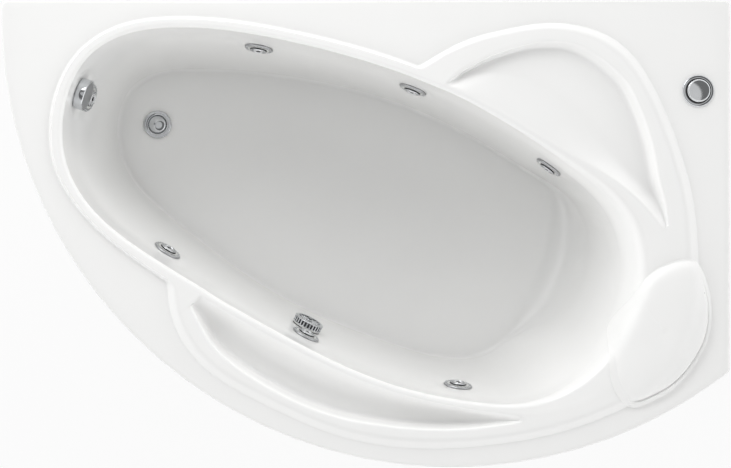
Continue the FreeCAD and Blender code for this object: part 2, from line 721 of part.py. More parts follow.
def trap():
    low = trap_floor_gap
    inner = trap_radius - pipe_wall
    mouth = tail_radius + running_gap
    cup = turned([(0, low), (trap_radius, low), (trap_radius, trap_top_z), (tail_radius + 4, trap_top_z),
                  (tail_radius + 4, trap_top_z + 8), (mouth, trap_top_z + 8), (mouth, trap_top_z - pipe_wall),
                  (inner, trap_top_z - pipe_wall), (inner, low + pipe_wall), (0, low + pipe_wall)])
    back = Vector(0, 1, 0)
    start = inner - 4
    outlet = Part.makeCylinder(tail_radius, trap_radius + waste_outlet_length - start, Vector(0, start, outlet_z), back)
    collar = Part.makeCylinder(tail_radius + outlet_collar, trap_radius + outlet_collar_length - start,
                               Vector(0, start, outlet_z), back)
    cup = cup.fuse(outlet.cut(cylinder(inner, low, trap_top_z)))
    cup = cup.fuse(collar.cut(cylinder(inner, low, trap_top_z)))
    cup = cup.cut(Part.makeCylinder(tail_radius - pipe_wall, trap_radius + waste_outlet_length,
                                    Vector(0, inner - 8, outlet_z), back))
    cup.translate(waste)
    return cup


# ---- air button ---------------------------------------------------------------------------------------------------
def button_housing():
    deck = rim_height
    barrel = button_hole_radius - thread_gap
    bore = button_radius + running_gap
    low = deck - button_body_depth
    body = turned([(0, low), (barrel, low), (barrel, deck), (button_flange_radius, deck),
                   (button_flange_radius, deck + 2.5), (button_flange_radius - 2, deck + 4), (bore + 2.5, deck + 4),
                   (bore, deck + 2.5), (bore, low + 4), (0, low + 4)])
    body = body.fuse(cylinder(air_tube_radius + 1.5, low - 10, low)).cut(cylinder(air_tube_radius - 1.2, low - 11, low + 5))
    body.translate(button)
    return body


def air_button():
    top = rim_height + button_rise
    low = rim_height - button_skirt
    dome = [(0, top)]
    for step in range(1, 6):
        turn = step * math.pi / 10
        dome.append((button_radius * math.sin(turn), top - 5 + 5 * math.cos(turn)))
    body = turned(dome + [(button_radius, low), (button_radius - 3, low), (button_radius - 3, top - 9), (0, top - 9)])
    body.translate(button)
    return body


def button_bellows():
    """Rubber bellows between the button and the floor of its housing."""
    low = rim_height - button_body_depth + 4
    top = rim_height + button_rise - 9 - face_gap
    fold = (top - low) / (2 * bellows_folds)
    outside = [(17.0 if k % 2 == 0 else 21.0, low + fold * k) for k in range(2 * bellows_folds + 1)]
    inside = [(r - 1.6, h) for r, h in outside]
    body = turned(outside + inside[::-1])
    body.translate(button)
    return body


# ---- pump ------------------------------------------------------------------------------------------------------------
def turned_copies(shape, count):
    return [at(shape, FreeCAD.Placement(Vector(0, 0, 0), FreeCAD.Rotation(up, k * 360.0 / count))) for k in range(count)]


def pump_volute():
    length = volute_length
    inlet_radius = spigot_radius
    case = cylinder(volute_radius, 0, length)
    case = case.makeFillet(10, [e for e in case.Edges if e.BoundBox.ZMin > length - 1])
    case = case.fuse(cylinder(inlet_radius, length - 4, length + pump_inlet_reach))
    riser = Part.makeCylinder(manifold_radius, discharge_reach, Vector(-discharge_offset, 0, length / 2), Vector(0, 1, 0))
    case = case.fuse(riser)
    case = case.cut(cylinder(volute_radius - 2 * volute_wall, -1, length - volute_wall))
    case = case.cut(cylinder(inlet_radius - pipe_wall, length / 2, length + pump_inlet_reach + 1))
    return case.cut(Part.makeCylinder(manifold_radius - pipe_wall, discharge_reach + 1,
                                      Vector(-discharge_offset, 0, length / 2), Vector(0, 1, 0)))


def pump_rotor():
    core_start = -motor_wall - 24
    core_end = -motor_length + 14
    fan_start = -motor_length - motor_wall - 8
    shaft = cylinder(shaft_radius, fan_start - 12, volute_length - 26)
    disc = cylinder(impeller_radius, 12, 15).fuse(cylinder(shaft_radius + 6, 8, volute_length - 26))
    blade = box((shaft_radius + 4, -1.5, 14), (impeller_radius, 1.5, volute_length - 30))
    fan_blade = box((shaft_radius + 6, -1.2, fan_start - 10), (motor_radius - 6, 1.2, fan_start))
    pieces = [disc, cylinder(rotor_core_radius, core_end, core_start),
              cylinder(shaft_radius + 9, fan_start - 12, fan_start)]
    pieces += turned_copies(blade, impeller_blades) + turned_copies(fan_blade, fan_blades)
    return shaft.multiFuse(pieces)


def motor_housing():
    """Finned motor case; its front plate closes the volute."""
    far = -motor_length - motor_wall
    case = cylinder(motor_radius, far, 0).fuse(cylinder(volute_radius, -motor_wall, 0))
    fin = box((motor_radius - 2, -1.5, far + 8), (motor_radius + fin_height, 1.5, -motor_wall - 6))
    case = case.multiFuse(turned_copies(fin, motor_fins))
    width, length, height = terminal_box_size
    seat_front = -motor_wall - seat_offset
    seat = box((-width / 2, motor_radius - 12, seat_front - length), (width / 2, seat_height, seat_front))
    case = case.fuse(seat)
    case = case.cut(cylinder(motor_radius - motor_wall, far + motor_wall, -motor_wall - 6))
    return case.cut(cylinder(shaft_radius + running_gap, far - 1, 1))


def fan_cover():
    start = -motor_length - motor_wall
    end = start - fan_cover_length
    outer = motor_radius + fin_height
    cup = turned([(motor_radius - fan_cover_wall, start), (outer, start), (outer, end + 6), (outer - 6, end), (0, end),
                  (0, end + fan_cover_wall), (outer - fan_cover_wall - 5, end + fan_cover_wall),
                  (outer - fan_cover_wall, end + 8), (outer - fan_cover_wall, start - 3),
                  (motor_radius - fan_cover_wall, start - 3)])
    slot = box((16, -2.5, end - 1), (outer - 14, 2.5, end + fan_cover_wall + 1))
    return cup.cut(Part.makeCompound(turned_copies(slot, 16)))


def terminal_box():
    """Wiring box on the motor, with a cable gland at its side and the air tube's nozzle on top."""
    width, length, height = terminal_box_size
    top = seat_height + height
    front = -motor_wall - seat_offset
    skin = 3.0
    case = box((-width / 2, seat_height, front - length), (width / 2, top, front))
    hollow = box((-width / 2 + skin, seat_height + skin, front - length + skin), (width / 2 - skin, top - skin, front - skin))
    middle = Vector(width / 2 - 1, top - height / 2, front - length / 2)
    gland = Part.makeCylinder(gland_radius, gland_length + 1, middle, Vector(1, 0, 0))
    bore = Part.makeCylinder(gland_bore_radius, gland_length + 6, middle - Vector(4, 0, 0), Vector(1, 0, 0))
    nozzle = Part.makeCylinder(air_tube_radius + 1.5, nozzle_length + 1,
                               Vector(width / 4, top - 1, front - length / 2), Vector(0, 1, 0))
    return case.cut(hollow).fuse(gland).fuse(nozzle).cut(bore)


def pump_bracket():
    """Steel saddle under the motor on four rubber pads; z is up here, y runs along the motor."""
    half = bracket_width / 2
    start = motor_wall + 8
    plate = box((-half, start, pad_height), (half, start + bracket_length, pad_height + bracket_plate))
    reach = pump_axis_height - motor_radius
    saddles = [box((-half + 10, start + offset, pad_height), (half - 10, start + offset + bracket_plate, reach + 22))
               for offset in (0, bracket_length - bracket_plate)]
    body = plate.multiFuse(saddles)
    around = Part.makeCylinder(motor_radius + fin_height, bracket_length * 2, Vector(0, 0, pump_axis_height), Vector(0, 1, 0))
    body = body.cut(around)
    pads = [cylinder(12, 0, pad_height, x, start + y) for x in (-half + 14, half - 14)
            for y in (14, bracket_length - 14)]
    result = Part.makeCompound([body] + pads)
    result.translate(Vector(pump.x, pump.y, 0))
    return result


# ---- pipes -----------------------------------------------------------------------------------------------------------
def local(frame, x, y, z):
    return frame.multVec(Vector(x, y, z))


def main_route(rise):
    return [local(wall_frame(place), 0, rise, -port_depth) for place in manifold_places]


def branches(radius, bore_radius, direction, start_reach, end_reach):
    """Short pipes from the jets' ports to their main, and the bores through them."""
    aim = Vector(0, direction, 0)
    start = Vector(0, direction * start_reach, -port_depth)
    outer = Part.makeCylinder(radius, end_reach - start_reach, start, aim)
    bore = Part.makeCylinder(bore_radius, end_reach - start_reach, start, aim)
    return [at(outer, frame) for frame in jet_frames], [at(bore, frame) for frame in jet_frames]


def main_pipe(route, radius, bore, branch_sizes):
    """Pipe past all the jets, closed at its far end, with a branch to every jet."""
    last = (route[-1] - route[-2]).normalize()
    outer, bores = branches(*branch_sizes)
    body = pipe(route + [route[-1] + last * end_reach], radius, most=main_bend)
    for branch in outer:
        body = body.fuse(branch)
    body = body.cut(pipe(route + [route[-1] + last * (end_reach - pipe_wall)], bore, most=main_bend))
    for branch in bores:
        body = body.cut(branch)
    return body


def water_manifold():
    route = main_route(water_main_rise)
    top = pump + Vector(-discharge_offset, -volute_length / 2, pump_axis_height + discharge_reach)
    return main_pipe([top, Vector(top.x, top.y, route[0].z)] + route, manifold_radius,
                     manifold_radius - pipe_wall,
                     (water_port_radius, water_port_radius - pipe_wall, 1, water_port_reach, water_main_rise))


def air_manifold():
    route = main_route(-air_main_drop)
    first = (route[0] - route[1]).normalize()
    start = route[0] + first * silencer_offset
    body = main_pipe([start] + route, air_manifold_radius, air_manifold_radius - air_wall,
                     (air_port_radius, air_port_radius - air_wall, -1, air_port_reach, air_main_drop))
    silencer = Part.makeCylinder(silencer_radius, silencer_length, start, first)
    vent = Part.makeCylinder(air_manifold_radius - air_wall, silencer_length + 2, start - first, first)
    return body.fuse(silencer.cut(vent))


def suction_hose():
    start = local(suction_frame, 0, hose_overlap - suction_port_reach, suction_port_depth)
    below = local(suction_frame, 0, -suction_port_reach - hose_drop, suction_port_depth)
    inlet = local(pump_placement, 0, 0, volute_length + pump_inlet_reach - hose_overlap)
    route = [start, below] + [place_on_rim(place) for place in hose_route] + [inlet]
    return pipe(route, hose_radius, spigot_radius)


def overflow_pipe():
    return pipe([overflow_port, overflow_bend, overflow_corner, waste_port_end], overflow_pipe_radius,
                overflow_pipe_radius - pipe_wall)


def pop_up_cable():
    return pipe([cable_start, cable_bend, cable_corner, cable_port_end], cable_radius)


def air_tube():
    start = Vector(button.x, button.y, rim_height - button_body_depth - 10)
    width, length, height = terminal_box_size
    end = local(pump_placement, width / 4, seat_height + height + nozzle_length,
                -motor_wall - seat_offset - length / 2)
    route = [start, start - Vector(0, 0, 110), (start + end) * 0.5 - Vector(0, 0, 20), end + Vector(0, 0, 60), end]
    return pipe(route, air_tube_radius)


# ---- frame, feet, apron --------------------------------------------------------------------------------------------------
def square_tube(length):
    half = rail_size / 2
    inner = half - rail_wall
    tube = box((-length / 2, -half, rail_bottom_z), (length / 2, half, rail_top_z))
    return tube.cut(box((-length / 2 - 1, -inner, rail_bottom_z + rail_wall), (length / 2 + 1, inner, rail_top_z - rail_wall)))


def frame_tubes():
    rails = []
    for side in (-1, 1):
        rail = square_tube(rail_length)
        rail.translate(Vector(0, side * rail_spacing / 2, 0))
        for end in (-1, 1):
            rail = rail.cut(cylinder(rod_radius + running_gap, rail_bottom_z - 1, rail_bottom_z + rail_wall + 1,
                                     end * foot_offset, side * rail_spacing / 2))
        rails.append(rail)
    for end in (-1, 1):
        bar = square_tube(rail_spacing - rail_size)
        bar.rotate(Vector(0, 0, 0), up, 90)
        bar.translate(Vector(end * cross_bar_offset, 0, 0))
        rails.append(bar)
    return Part.makeCompound([at(rail, frame_placement) for rail in rails])


def base_board():
    board = prism(moved_out(on_rim(basin_floor), -board_inset), rail_top_z, board_top_z)
    return board.cut(cylinder(drain_cutout_radius, rail_top_z - 1, board_top_z + 1, waste.x, waste.y))


def levelling_foot(spot, rod_top):
    pad = turned([(0, 0), (foot_radius - 2, 0), (foot_radius, 3), (foot_radius, 7), (rod_radius + 4, foot_height),
                  (0, foot_height)])
    foot = pad.fuse(cylinder(rod_radius, foot_height - 1, rod_top))
    foot.translate(spot)
    return foot


def lock_nuts():
    nuts = []
    for spot, height in [(s, rail_bottom_z) for s in foot_spots] + [(s, bush_bottom_z) for s in leg_spots]:
        nut = hexagon(lock_nut_width, height - lock_nut_height, height, rod_radius + running_gap)
        nut.translate(spot)
        nuts.append(nut)
    return Part.makeCompound(nuts)


def leg_bushes():
    bushes = []
    half = bush_plate_width / 2
    for spot in leg_spots:
        bush = box((-half, -half, deck_under_z - bush_plate), (half, half, deck_under_z))
        bush = bush.fuse(cylinder(bush_radius, bush_bottom_z, deck_under_z - 1))
        bush = bush.cut(cylinder(rod_radius + running_gap, bush_bottom_z - 1, deck_under_z - bush_plate))
        bush.translate(spot)
        bushes.append(bush)
    return Part.makeCompound(bushes)


def wall_clips():
    """Angles under the deck, against the turned-down edge along the back wall."""
    clips = []
    face = rim_width / 2 - skirt_thickness
    for place in wall_clip_places:
        x = place * rim_length / drawn_length
        flat = box((x - clip_size, face - clip_size, deck_under_z - clip_thickness), (x + clip_size, face, deck_under_z))
        leg = box((x - clip_size, face - clip_thickness, rim_height - skirt_height), (x + clip_size, face, deck_under_z - 1))
        clips.append(flat.fuse(leg))
    return Part.makeCompound(clips)


def front_apron():
    left = -rim_length / 2 + apron_inset
    right = rim_length / 2 - apron_inset
    low = apron_floor_gap
    high = deck_under_z - apron_top_gap
    outer = front_radius - apron_inset
    keep = box((left, -rim_width, low - 1), (right, front_centre.y - apron_inset, high + 1))
    panel = ring(outer, outer - apron_thickness, low, high, front_centre.x, front_centre.y)
    foot = ring(outer, outer - apron_flange, low, low + apron_thickness, front_centre.x, front_centre.y)
    return panel.fuse(foot).common(keep)


def apron_clips():
    """Angles behind the apron: x is outward, z is up, the origin is the screw under the deck."""
    half = clip_size / 2
    flat = box((-half, -half, -clip_thickness), (half, half, 0))
    leg = box((half - clip_thickness, -half, -clip_size), (half, half, -clip_thickness + 0.5))
    clip = flat.fuse(leg).cut(cylinder(screw_radius, -clip_thickness - 1, 1))
    behind = cylinder(front_radius - apron_inset - apron_thickness, 0, rim_height, front_centre.x, front_centre.y)
    return Part.makeCompound([at(clip, frame).common(behind) for frame in clip_frames])


def clip_screws():
    low = -clip_thickness
    screw = turned([(0, low - screw_head_height), (screw_head_radius - 1, low - screw_head_height),
                    (screw_head_radius, low), (screw_radius, low), (screw_radius, screw_depth - 0.5), (0, screw_depth - 0.5)])
    return Part.makeCompound([at(screw, frame) for frame in clip_frames])


# ---- headrest ------------------------------------------------------------------------------------------------------------
def headrest(shell):
    outline = on_rim(headrest_edge)
    top = rim_height + headrest_rise
    bottom = shoulder_z - 30
    pad = rounded_plateau(outline, bottom, top - headrest_round, top, headrest_round)
    above = basin_solid(-headrest_cover, top, floor_z)
    pad = pad.cut(above).cut(shell)
    for spot in headrest_studs_at:
        pad = pad.cut(cylinder(stud_radius, rim_height - 1, lip_z + stud_length / 2, spot.x, spot.y))
    return max(pad.Solids, key=lambda solid: solid.CenterOfMass.z)


def headrest_studs():
    return Part.makeCompound([cylinder(stud_radius, rim_height - stud_length / 2, lip_z + stud_length / 2, s.x, s.y)
                              for s in headrest_studs_at])


# ---- places worked out from the sizes -------------------------------------------------------------------------------------
flange_radius = jet_ring_radius - 2
seat_height = motor_radius + fin_height + 1
suction_port_depth = -(suction_body_length + pad_thickness + nut_thickness) / 2
step_down = 0.3                 # tops of the lip and bands stay just under the basin's hollow
tray_floor_z = rim_height - tray_depth
recess_floor_z = rim_height - recess_depth
bush_bottom_z = deck_under_z - bush_plate - bush_length
waste = place_on_rim(waste_place)
button = place_on_rim(button_place)
pump = place_on_rim(pump_place)
headrest_studs_at = [place_on_rim(place) for place in headrest_stud_places]
leg_spots = [place_on_rim(place) for place in rim_leg_places]
frame_placement = FreeCAD.Placement(place_on_rim(frame_centre), FreeCAD.Rotation(up, frame_angle))
foot_spots = [local(frame_placement, x * foot_offset, y * rail_spacing / 2, 0) for x in (-1, 1) for y in (1, -1)]
pump_placement = FreeCAD.Placement(FreeCAD.Matrix(1, 0, 0, pump.x, 0, 0, -1, pump.y, 0, 1, 0, pump_axis_height,
                                                  0, 0, 0, 1))
front_arc = deck_outline(0, 0).Edges[0].Curve
front_centre = front_arc.Center
front_radius = front_arc.Radius
clip_frames = []
for degrees in apron_clip_angles:
    reach = front_radius - apron_inset - apron_thickness - clip_size / 2
    turn = FreeCAD.Rotation(up, degrees)
    spot = front_centre + turn.multVec(Vector(reach, 0, 0))
    clip_frames.append(FreeCAD.Placement(Vector(spot.x, spot.y, deck_under_z), turn))
jet_frames = [wall_frame(place) for place in jet_places]
suction_frame = wall_frame(suction_place)
overflow_frame = wall_frame(overflow_place)

overflow_back = -pad_thickness - gasket_thickness - overflow_body_depth
waste_port_reach = waste_body_radius + 22
waste_port_z = floor_z - waste_neck_length - 19
cable_port_z = waste_port_z - overflow_pipe_radius - cable_radius - 3.5
overflow_port = local(overflow_frame, 0, 0, overflow_back - overflow_port_length)
overflow_bend = local(overflow_frame, 0, 0, -overflow_pipe_depth)
overflow_corner = Vector(overflow_bend.x, overflow_bend.y, waste_port_z)
waste_port_centre = Vector(waste.x, waste.y, waste_port_z)
waste_port_aim = (overflow_corner - waste_port_centre).normalize()
waste_port_end = waste_port_centre + waste_port_aim * waste_port_reach
cable_start = local(overflow_frame, cable_offset, 0, overflow_back - cable_socket_length)
cable_bend = local(overflow_frame, cable_offset, 0, -cable_depth)
cable_corner = Vector(cable_bend.x, cable_bend.y, cable_port_z)
cable_port_centre = Vector(waste.x, waste.y, cable_port_z)
cable_port_aim = (cable_corner - cable_port_centre).normalize()
cable_port_end = cable_port_centre + cable_port_aim * waste_port_reach


def main():
    os.makedirs("parts", exist_ok=True)
    shell = tub_shell()
    save("tub_shell", shell)
    save("headrest", headrest(shell))
    save("headrest_studs", headrest_studs())
    save("base_board", base_board())
    save("frame_tubes", frame_tubes())
    save("leg_bushes", leg_bushes())
    save("lock_nuts", lock_nuts())
    for number, spot in enumerate(foot_spots, 1):
        save("foot_%d" % number, levelling_foot(spot, rail_bottom_z + rod_reach))
    for number, spot in enumerate(leg_spots, 1):
        save("rim_leg_%d" % number, levelling_foot(spot, bush_bottom_z + bush_engagement))
    save("wall_clips", wall_clips())
    save("front_apron", front_apron())
    save("apron_clips", apron_clips())
    save("clip_screws", clip_screws())

    for number, frame in enumerate(jet_frames, 1):
        save("jet_ring_%d" % number, at(jet_ring(), frame))
        save("jet_nozzle_%d" % number, at(jet_nozzle(), frame))
    save("jet_bodies", Part.makeCompound([at(jet_body(), frame) for frame in jet_frames]))
    nuts = [at(fitting_nut(jet_hole_radius), frame) for frame in jet_frames]
    nuts.append(at(fitting_nut(suction_hole_radius), suction_frame))
    nut = ring(button_hole_radius + nut_margin + 2, button_hole_radius - thread_gap, deck_under_z - nut_thickness,
               deck_under_z, button.x, button.y)
    save("fitting_nuts", Part.makeCompound(nuts + [nut]))
    gaskets = [at(ring(flange_radius, jet_hole_radius, 0, gasket_thickness), frame) for frame in jet_frames]
    gaskets.append(at(ring(suction_radius - 2, suction_hole_radius, 0, gasket_thickness), suction_frame))
    gaskets.append(at(ring(knob_radius - 1, overflow_hole_radius, -pad_thickness - gasket_thickness, -pad_thickness),
                      overflow_frame))
    gaskets.append(ring(waste_flange_radius, waste_hole_radius, floor_z, floor_z + gasket_thickness, waste.x, waste.y))
    gaskets.append(ring(waste_flange_radius, waste_hole_radius, board_top_z - gasket_thickness, board_top_z,
                        waste.x, waste.y))
    save("fitting_gaskets", Part.makeCompound(gaskets))

    save("suction_body", at(suction_body(), suction_frame))
    save("suction_cover", at(suction_cover(), suction_frame))
    save("suction_screw", at(suction_screw(), suction_frame))
    save("overflow_trim", at(overflow_trim(), overflow_frame))
    save("overflow_knob", at(overflow_knob(), overflow_frame))
    save("overflow_body", at(overflow_body(), overflow_frame))
    save("overflow_pipe", overflow_pipe())
    save("pop_up_cable", pop_up_cable())
    save("waste_flange", waste_flange())
    save("waste_plug", waste_plug())
    save("waste_body", waste_body())
    save("trap", trap())
    save("button_housing", button_housing())
    save("air_button", air_button())
    save("button_bellows", button_bellows())
    save("air_tube", air_tube())

    save("pump_volute", at(pump_volute(), pump_placement))
    save("pump_rotor", at(pump_rotor(), pump_placement))
    save("motor_housing", at(motor_housing(), pump_placement))
    save("fan_cover", at(fan_cover(), pump_placement))
    save("terminal_box", at(terminal_box(), pump_placement))
    save("pump_bracket", pump_bracket())
    save("suction_hose", suction_hose())
    save("water_manifold", water_manifold())
    save("air_manifold", air_manifold())


main()
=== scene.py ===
"""Corner jetted bath: white shell, chrome fittings, soft headrest, apron, pump and pipes."""
import json
from functools import cache
from math import acos, asin, atan2, cos, exp, hypot, pi, radians, sin

import bmesh
import bpy
import numpy as np
from mathutils import Matrix, Vector


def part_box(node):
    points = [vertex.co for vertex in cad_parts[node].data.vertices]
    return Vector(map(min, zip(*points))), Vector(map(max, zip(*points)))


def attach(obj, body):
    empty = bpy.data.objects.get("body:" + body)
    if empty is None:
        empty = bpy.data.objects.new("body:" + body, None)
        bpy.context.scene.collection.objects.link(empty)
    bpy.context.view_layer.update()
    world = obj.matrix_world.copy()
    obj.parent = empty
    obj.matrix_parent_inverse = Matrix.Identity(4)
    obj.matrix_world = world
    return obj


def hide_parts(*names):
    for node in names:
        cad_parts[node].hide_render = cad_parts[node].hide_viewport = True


bl_info = {
    "name": "Corner jetted bath",
    "version": (1, 0, 0),
    "blender": (4, 5, 0),
    "location": "3D View > Sidebar > Bath",
    "description": "Builds the visible pieces of a corner jetted bath over its CAD frame",
    "category": "Object",
}

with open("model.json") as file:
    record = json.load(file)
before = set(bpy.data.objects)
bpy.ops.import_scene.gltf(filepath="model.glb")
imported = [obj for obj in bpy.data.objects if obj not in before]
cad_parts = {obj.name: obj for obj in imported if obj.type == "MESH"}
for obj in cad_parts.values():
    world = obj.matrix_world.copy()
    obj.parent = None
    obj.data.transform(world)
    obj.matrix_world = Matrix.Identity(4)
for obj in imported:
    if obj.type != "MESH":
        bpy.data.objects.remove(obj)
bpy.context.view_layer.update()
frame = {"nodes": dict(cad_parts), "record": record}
record = frame["record"]
joints = {joint["name"]: joint for joint in record["behaviour"]["joints"]}
UP = Vector((0, 0, 1))

# ---- outlines in plan, millimetres, as in the part's source ----
BASIN_EDGE = [  # top of the basin
    (-684, 228), (-669, 315), (-621, 397), (-538, 450), (-428, 468), (-143, 434),
    (165, 337), (472, 165), (604, 74), (669, -20), (678, -124), (636, -240), (538, -345),
    (395, -398), (252, -389), (77, -352), (-230, -214), (-472, -71), (-643, 85),
    (-676, 155)
]
BASIN_SHOULDER = [  # where the rolled top of the wall ends
    (-660, 233), (-647, 312), (-604, 388), (-530, 433), (-428, 449), (-148, 415),
    (157, 317), (446, 140), (530, 60), (562, -10), (566, -112), (530, -212), (455, -300),
    (350, -358), (240, -360), (72, -327), (-218, -192), (-458, -50), (-624, 96),
    (-653, 165)
]
BASIN_FLOOR = [  # foot of the wall
    (-618, 261), (-606, 326), (-570, 377), (-509, 404), (-428, 410), (-164, 387),
    (159, 294), (425, 146), (474, 104), (484, 35), (463, -71), (416, -167), (360, -250),
    (295, -298), (214, -308), (63, -270), (-227, -142), (-461, 24), (-587, 148),
    (-612, 206)
]
BAND_EDGE = [  # outer edge of the raised bands
    (118, 365), (164, 394), (230, 426), (296, 444), (383, 459), (471, 453), (558, 413),
    (624, 328), (681, 196), (714, 74), (725, -53), (723, -150), (694, -250), (640, -330),
    (560, -380), (427, -430), (296, -456), (120, -466), (-55, -439), (-230, -364),
    (-361, -280), (-412, -205), (-428, -100), (-380, 20), (-200, 150), (0, 290)
]
RECESS_FAR = [  # far edge of the arm recess
    (184, 333), (208, 353), (252, 377), (296, 397), (384, 419), (472, 408), (560, 344),
    (599, 276), (626, 197), (641, 118), (654, 70), (662, 16)
]
TRAY_FAR = [  # far edge of the tray
    (348, -409), (296, -416), (208, -425), (121, -425), (33, -416), (-55, -400),
    (-143, -369), (-230, -323), (-296, -277), (-336, -238), (-367, -184), (-383, -152)
]
POLE = (-70, 60)  # place in the basin that sees every outline once round
RIM_SIDE = 800  # half the length along the back wall
RIM_BACK = 512.5  # y of the back edge
RIM_LEFT_END = 477.5  # y where the curved front meets the left edge
RIM_RIGHT_END = -302  # y where it meets the right edge
DECK_CORNERS = [(-RIM_SIDE, RIM_BACK), (RIM_SIDE, RIM_BACK), (RIM_SIDE, RIM_RIGHT_END),
                (-RIM_SIDE, RIM_LEFT_END)]
FRONT_CENTRE = (189.8, 477.3)
FRONT_RADIUS = 989.8
WALL = 8  # shell thickness round the basin
DECK_WALL = 10  # shell thickness of the deck
SKIRT = 40  # height of the deck's turned-down edge
SHOULDER_DEPTH = 100  # deck to the line where the rolled top of the wall ends

# ---- places in metres ----
DECK_TOP = 0.600
BASIN_BOTTOM = 0.170
CAMERA_HEIGHT = 2.900  # above the deck
VIEW_WIDTH = 0.731 * 2.1948  # width of the deck that the picture shows
SUCTION_SPOT = (-0.14044, -0.21971, 0.385)
SUCTION_AXIS = (0.456721, 0.881955, 0.116457)

CHROME = "chrome_plate_polished"
# Black moulded plastic for the real black parts; also painted shade in the jets' grooves, the nozzles'
# bores and on the suction neck.
BLACK_NYLON_AND_SHADE = "black_glass_filled_nylon"
SATIN = "satin_turned_metal"
RUBBER = "black_rubber"
BALL_SKIN = "satin_chromed_abs"
PUSH_SKIN = "bright_chromed_abs"


# ---- colours and nodes ----
def linear(code):
    """Linear RGBA of an sRGB hex colour."""
    parts = [int(code[i:i + 2], 16) / 255 for i in (0, 2, 4)]
    return tuple(c / 12.92 if c <= 0.04045 else ((c + 0.055) / 1.055) ** 2.4 for c in parts) + (1.0,)


def node(tree, kind, inputs=None, links=None, **settings):
    """Adds one node, sets its properties and inputs, and links inputs to sockets or nodes.

    A node among the links stands for its first output.
    """
    made = tree.nodes.new(kind)
    for name, value in settings.items():
        setattr(made, name, value)
    for name, value in (inputs or {}).items():
        made.inputs[name].default_value = value
    for name, source in (links or {}).items():
        tree.links.new(getattr(source, "outputs", [source])[0], made.inputs[name])
    return made


def blank(name):
    """A new material and its empty tree."""
    material = bpy.data.materials.new(name)
    material.use_nodes = True
    material.node_tree.nodes.clear()
    return material, material.node_tree

def noise(scale, detail, distortion=0.0):
    """A cloudy texture; the scale is in cycles per metre."""
    return "ShaderNodeTexNoise", {"Scale": scale, "Detail": detail, "Distortion": distortion}, "Fac"


def cells(scale):
    """A cell texture; the scale is in cells per metre."""
    return "ShaderNodeTexVoronoi", {"Scale": scale}, "Distance"


def grey(tree, place, texture):
    kind, inputs, output = texture
    return node(tree, kind, inputs, {"Vector": place}).outputs[output]


def finish(name, shades, tint, gloss=None, relief=None, shader=None):
    """Makes a procedural material and gives its name; materials are passed on by name.

    shades: dark and light colour, mixed by the texture tint.
    gloss: lowest and highest roughness, and the texture between them if it isn't the tint.
    relief: texture, strength and depth in metres.
    shader: other inputs of the shader.
    """
    material, tree = blank(name)
    place = node(tree, "ShaderNodeTexCoord").outputs["Object"]
    # Inputs 6 and 7 of the colour mix are its two colours, output 2 is the mixed one.
    colour = node(tree, "ShaderNodeMix", {6: linear(shades[0]), 7: linear(shades[1])},
                  {0: grey(tree, place, tint)}, data_type="RGBA")
    links = {"Base Color": colour.outputs[2]}
    if gloss:
        spread = grey(tree, place, gloss[2] if len(gloss) > 2 else tint)
        rough = node(tree, "ShaderNodeMapRange", {"To Min": gloss[0], "To Max": gloss[1]},
                     {"Value": spread})
        links["Roughness"] = rough
    if relief:
        texture, strength, depth = relief
        bump = node(tree, "ShaderNodeBump", {"Strength": strength, "Distance": depth},
                    {"Height": grey(tree, place, texture)})
        links["Normal"] = bump
    surface = node(tree, "ShaderNodeBsdfPrincipled", shader, links)
    node(tree, "ShaderNodeOutputMaterial", links={"Surface": surface})
    return material.name


def sanitary_acrylic():
    # Cast acrylic sheet, vacuum formed: deep gloss with a faint orange-peel waviness 6 mm across.
    return finish("sanitary_acrylic_gloss", ("F8F8F7", "FAFAF9"), noise(14.0, 2.0), (0.10, 0.16),
                  (noise(160.0, 1.0), 0.03, 0.0002),
                  {"IOR": 1.49, "Coat Weight": 0.2, "Coat Roughness": 0.05})


def apron_acrylic():
    # The same sheet on the apron: a little flatter gloss, with cleaning haze about 150 mm across.
    return finish("apron_acrylic_sheet", ("EDEDEC", "F2F2F1"), noise(6.0, 3.0), (0.13, 0.22),
                  shader={"IOR": 1.49})


def skin_foam():
    # Integral-skin polyurethane foam: soft satin skin with a fine pebble about 1.5 mm across.
    return finish("skin_foam_white", ("F8F8F7", "FBFBFA"), noise(22.0, 3.0), (0.34, 0.44),
                  (cells(650.0), 0.12, 0.0003), {"IOR": 1.46})


def chrome_plate():
    # Bright chrome over brass: mirror gloss with faint wiping marks about 15 mm across.
    return finish(CHROME, ("C4C6C9", "D2D4D6"), noise(60.0, 4.0), (0.03, 0.10),
                  shader={"Metallic": 1.0})


def turned_metal():
    # Face-turned, satin finished metal: fine tool marks give a soft grey sheen.
    return finish(SATIN, ("A9AAAD", "BABBBD"), noise(40.0, 3.0), (0.26, 0.40),
                  (noise(900.0, 2.0), 0.12, 0.0002), {"Metallic": 1.0})


def moulded_plastic(name, light, dark, roughness, metallic=0.0):
    # Injection-moulded plastic: slight flow marks 25 mm long and a fine spark-eroded grain.
    return finish(name, (dark, light), noise(40.0, 3.0), (roughness - 0.06, roughness + 0.08),
                  (noise(1100.0, 1.0), 0.10, 0.0002), {"Metallic": metallic})


def zinc_plate():
    # Bright zinc plating on steel: cloudy crystalline patches about 9 mm across.
    return finish("zinc_plated_steel", ("9EA2A5", "BCBEBF"), cells(110.0),
                  (0.26, 0.46, noise(90.0, 4.0)), shader={"Metallic": 1.0})


def motor_enamel():
    # Sprayed enamel over cast aluminium: orange peel about 3 mm across and slight dirt.
    return finish("motor_enamel_blue_grey", ("343C48", "434D5C"), noise(30.0, 4.0), (0.30, 0.48),
                  (noise(350.0, 2.0), 0.15, 0.0004))


def glass_fibre_board():
    # Chipboard stiffener laminated with chopped glass strands and polyester resin.
    strands = noise(240.0, 6.0, 3.0)
    return finish("glass_fibre_laminate", ("C7C0A9", "E6E2D4"), strands, None, (strands, 0.5, 0.0008),
                  {"Roughness": 0.5})


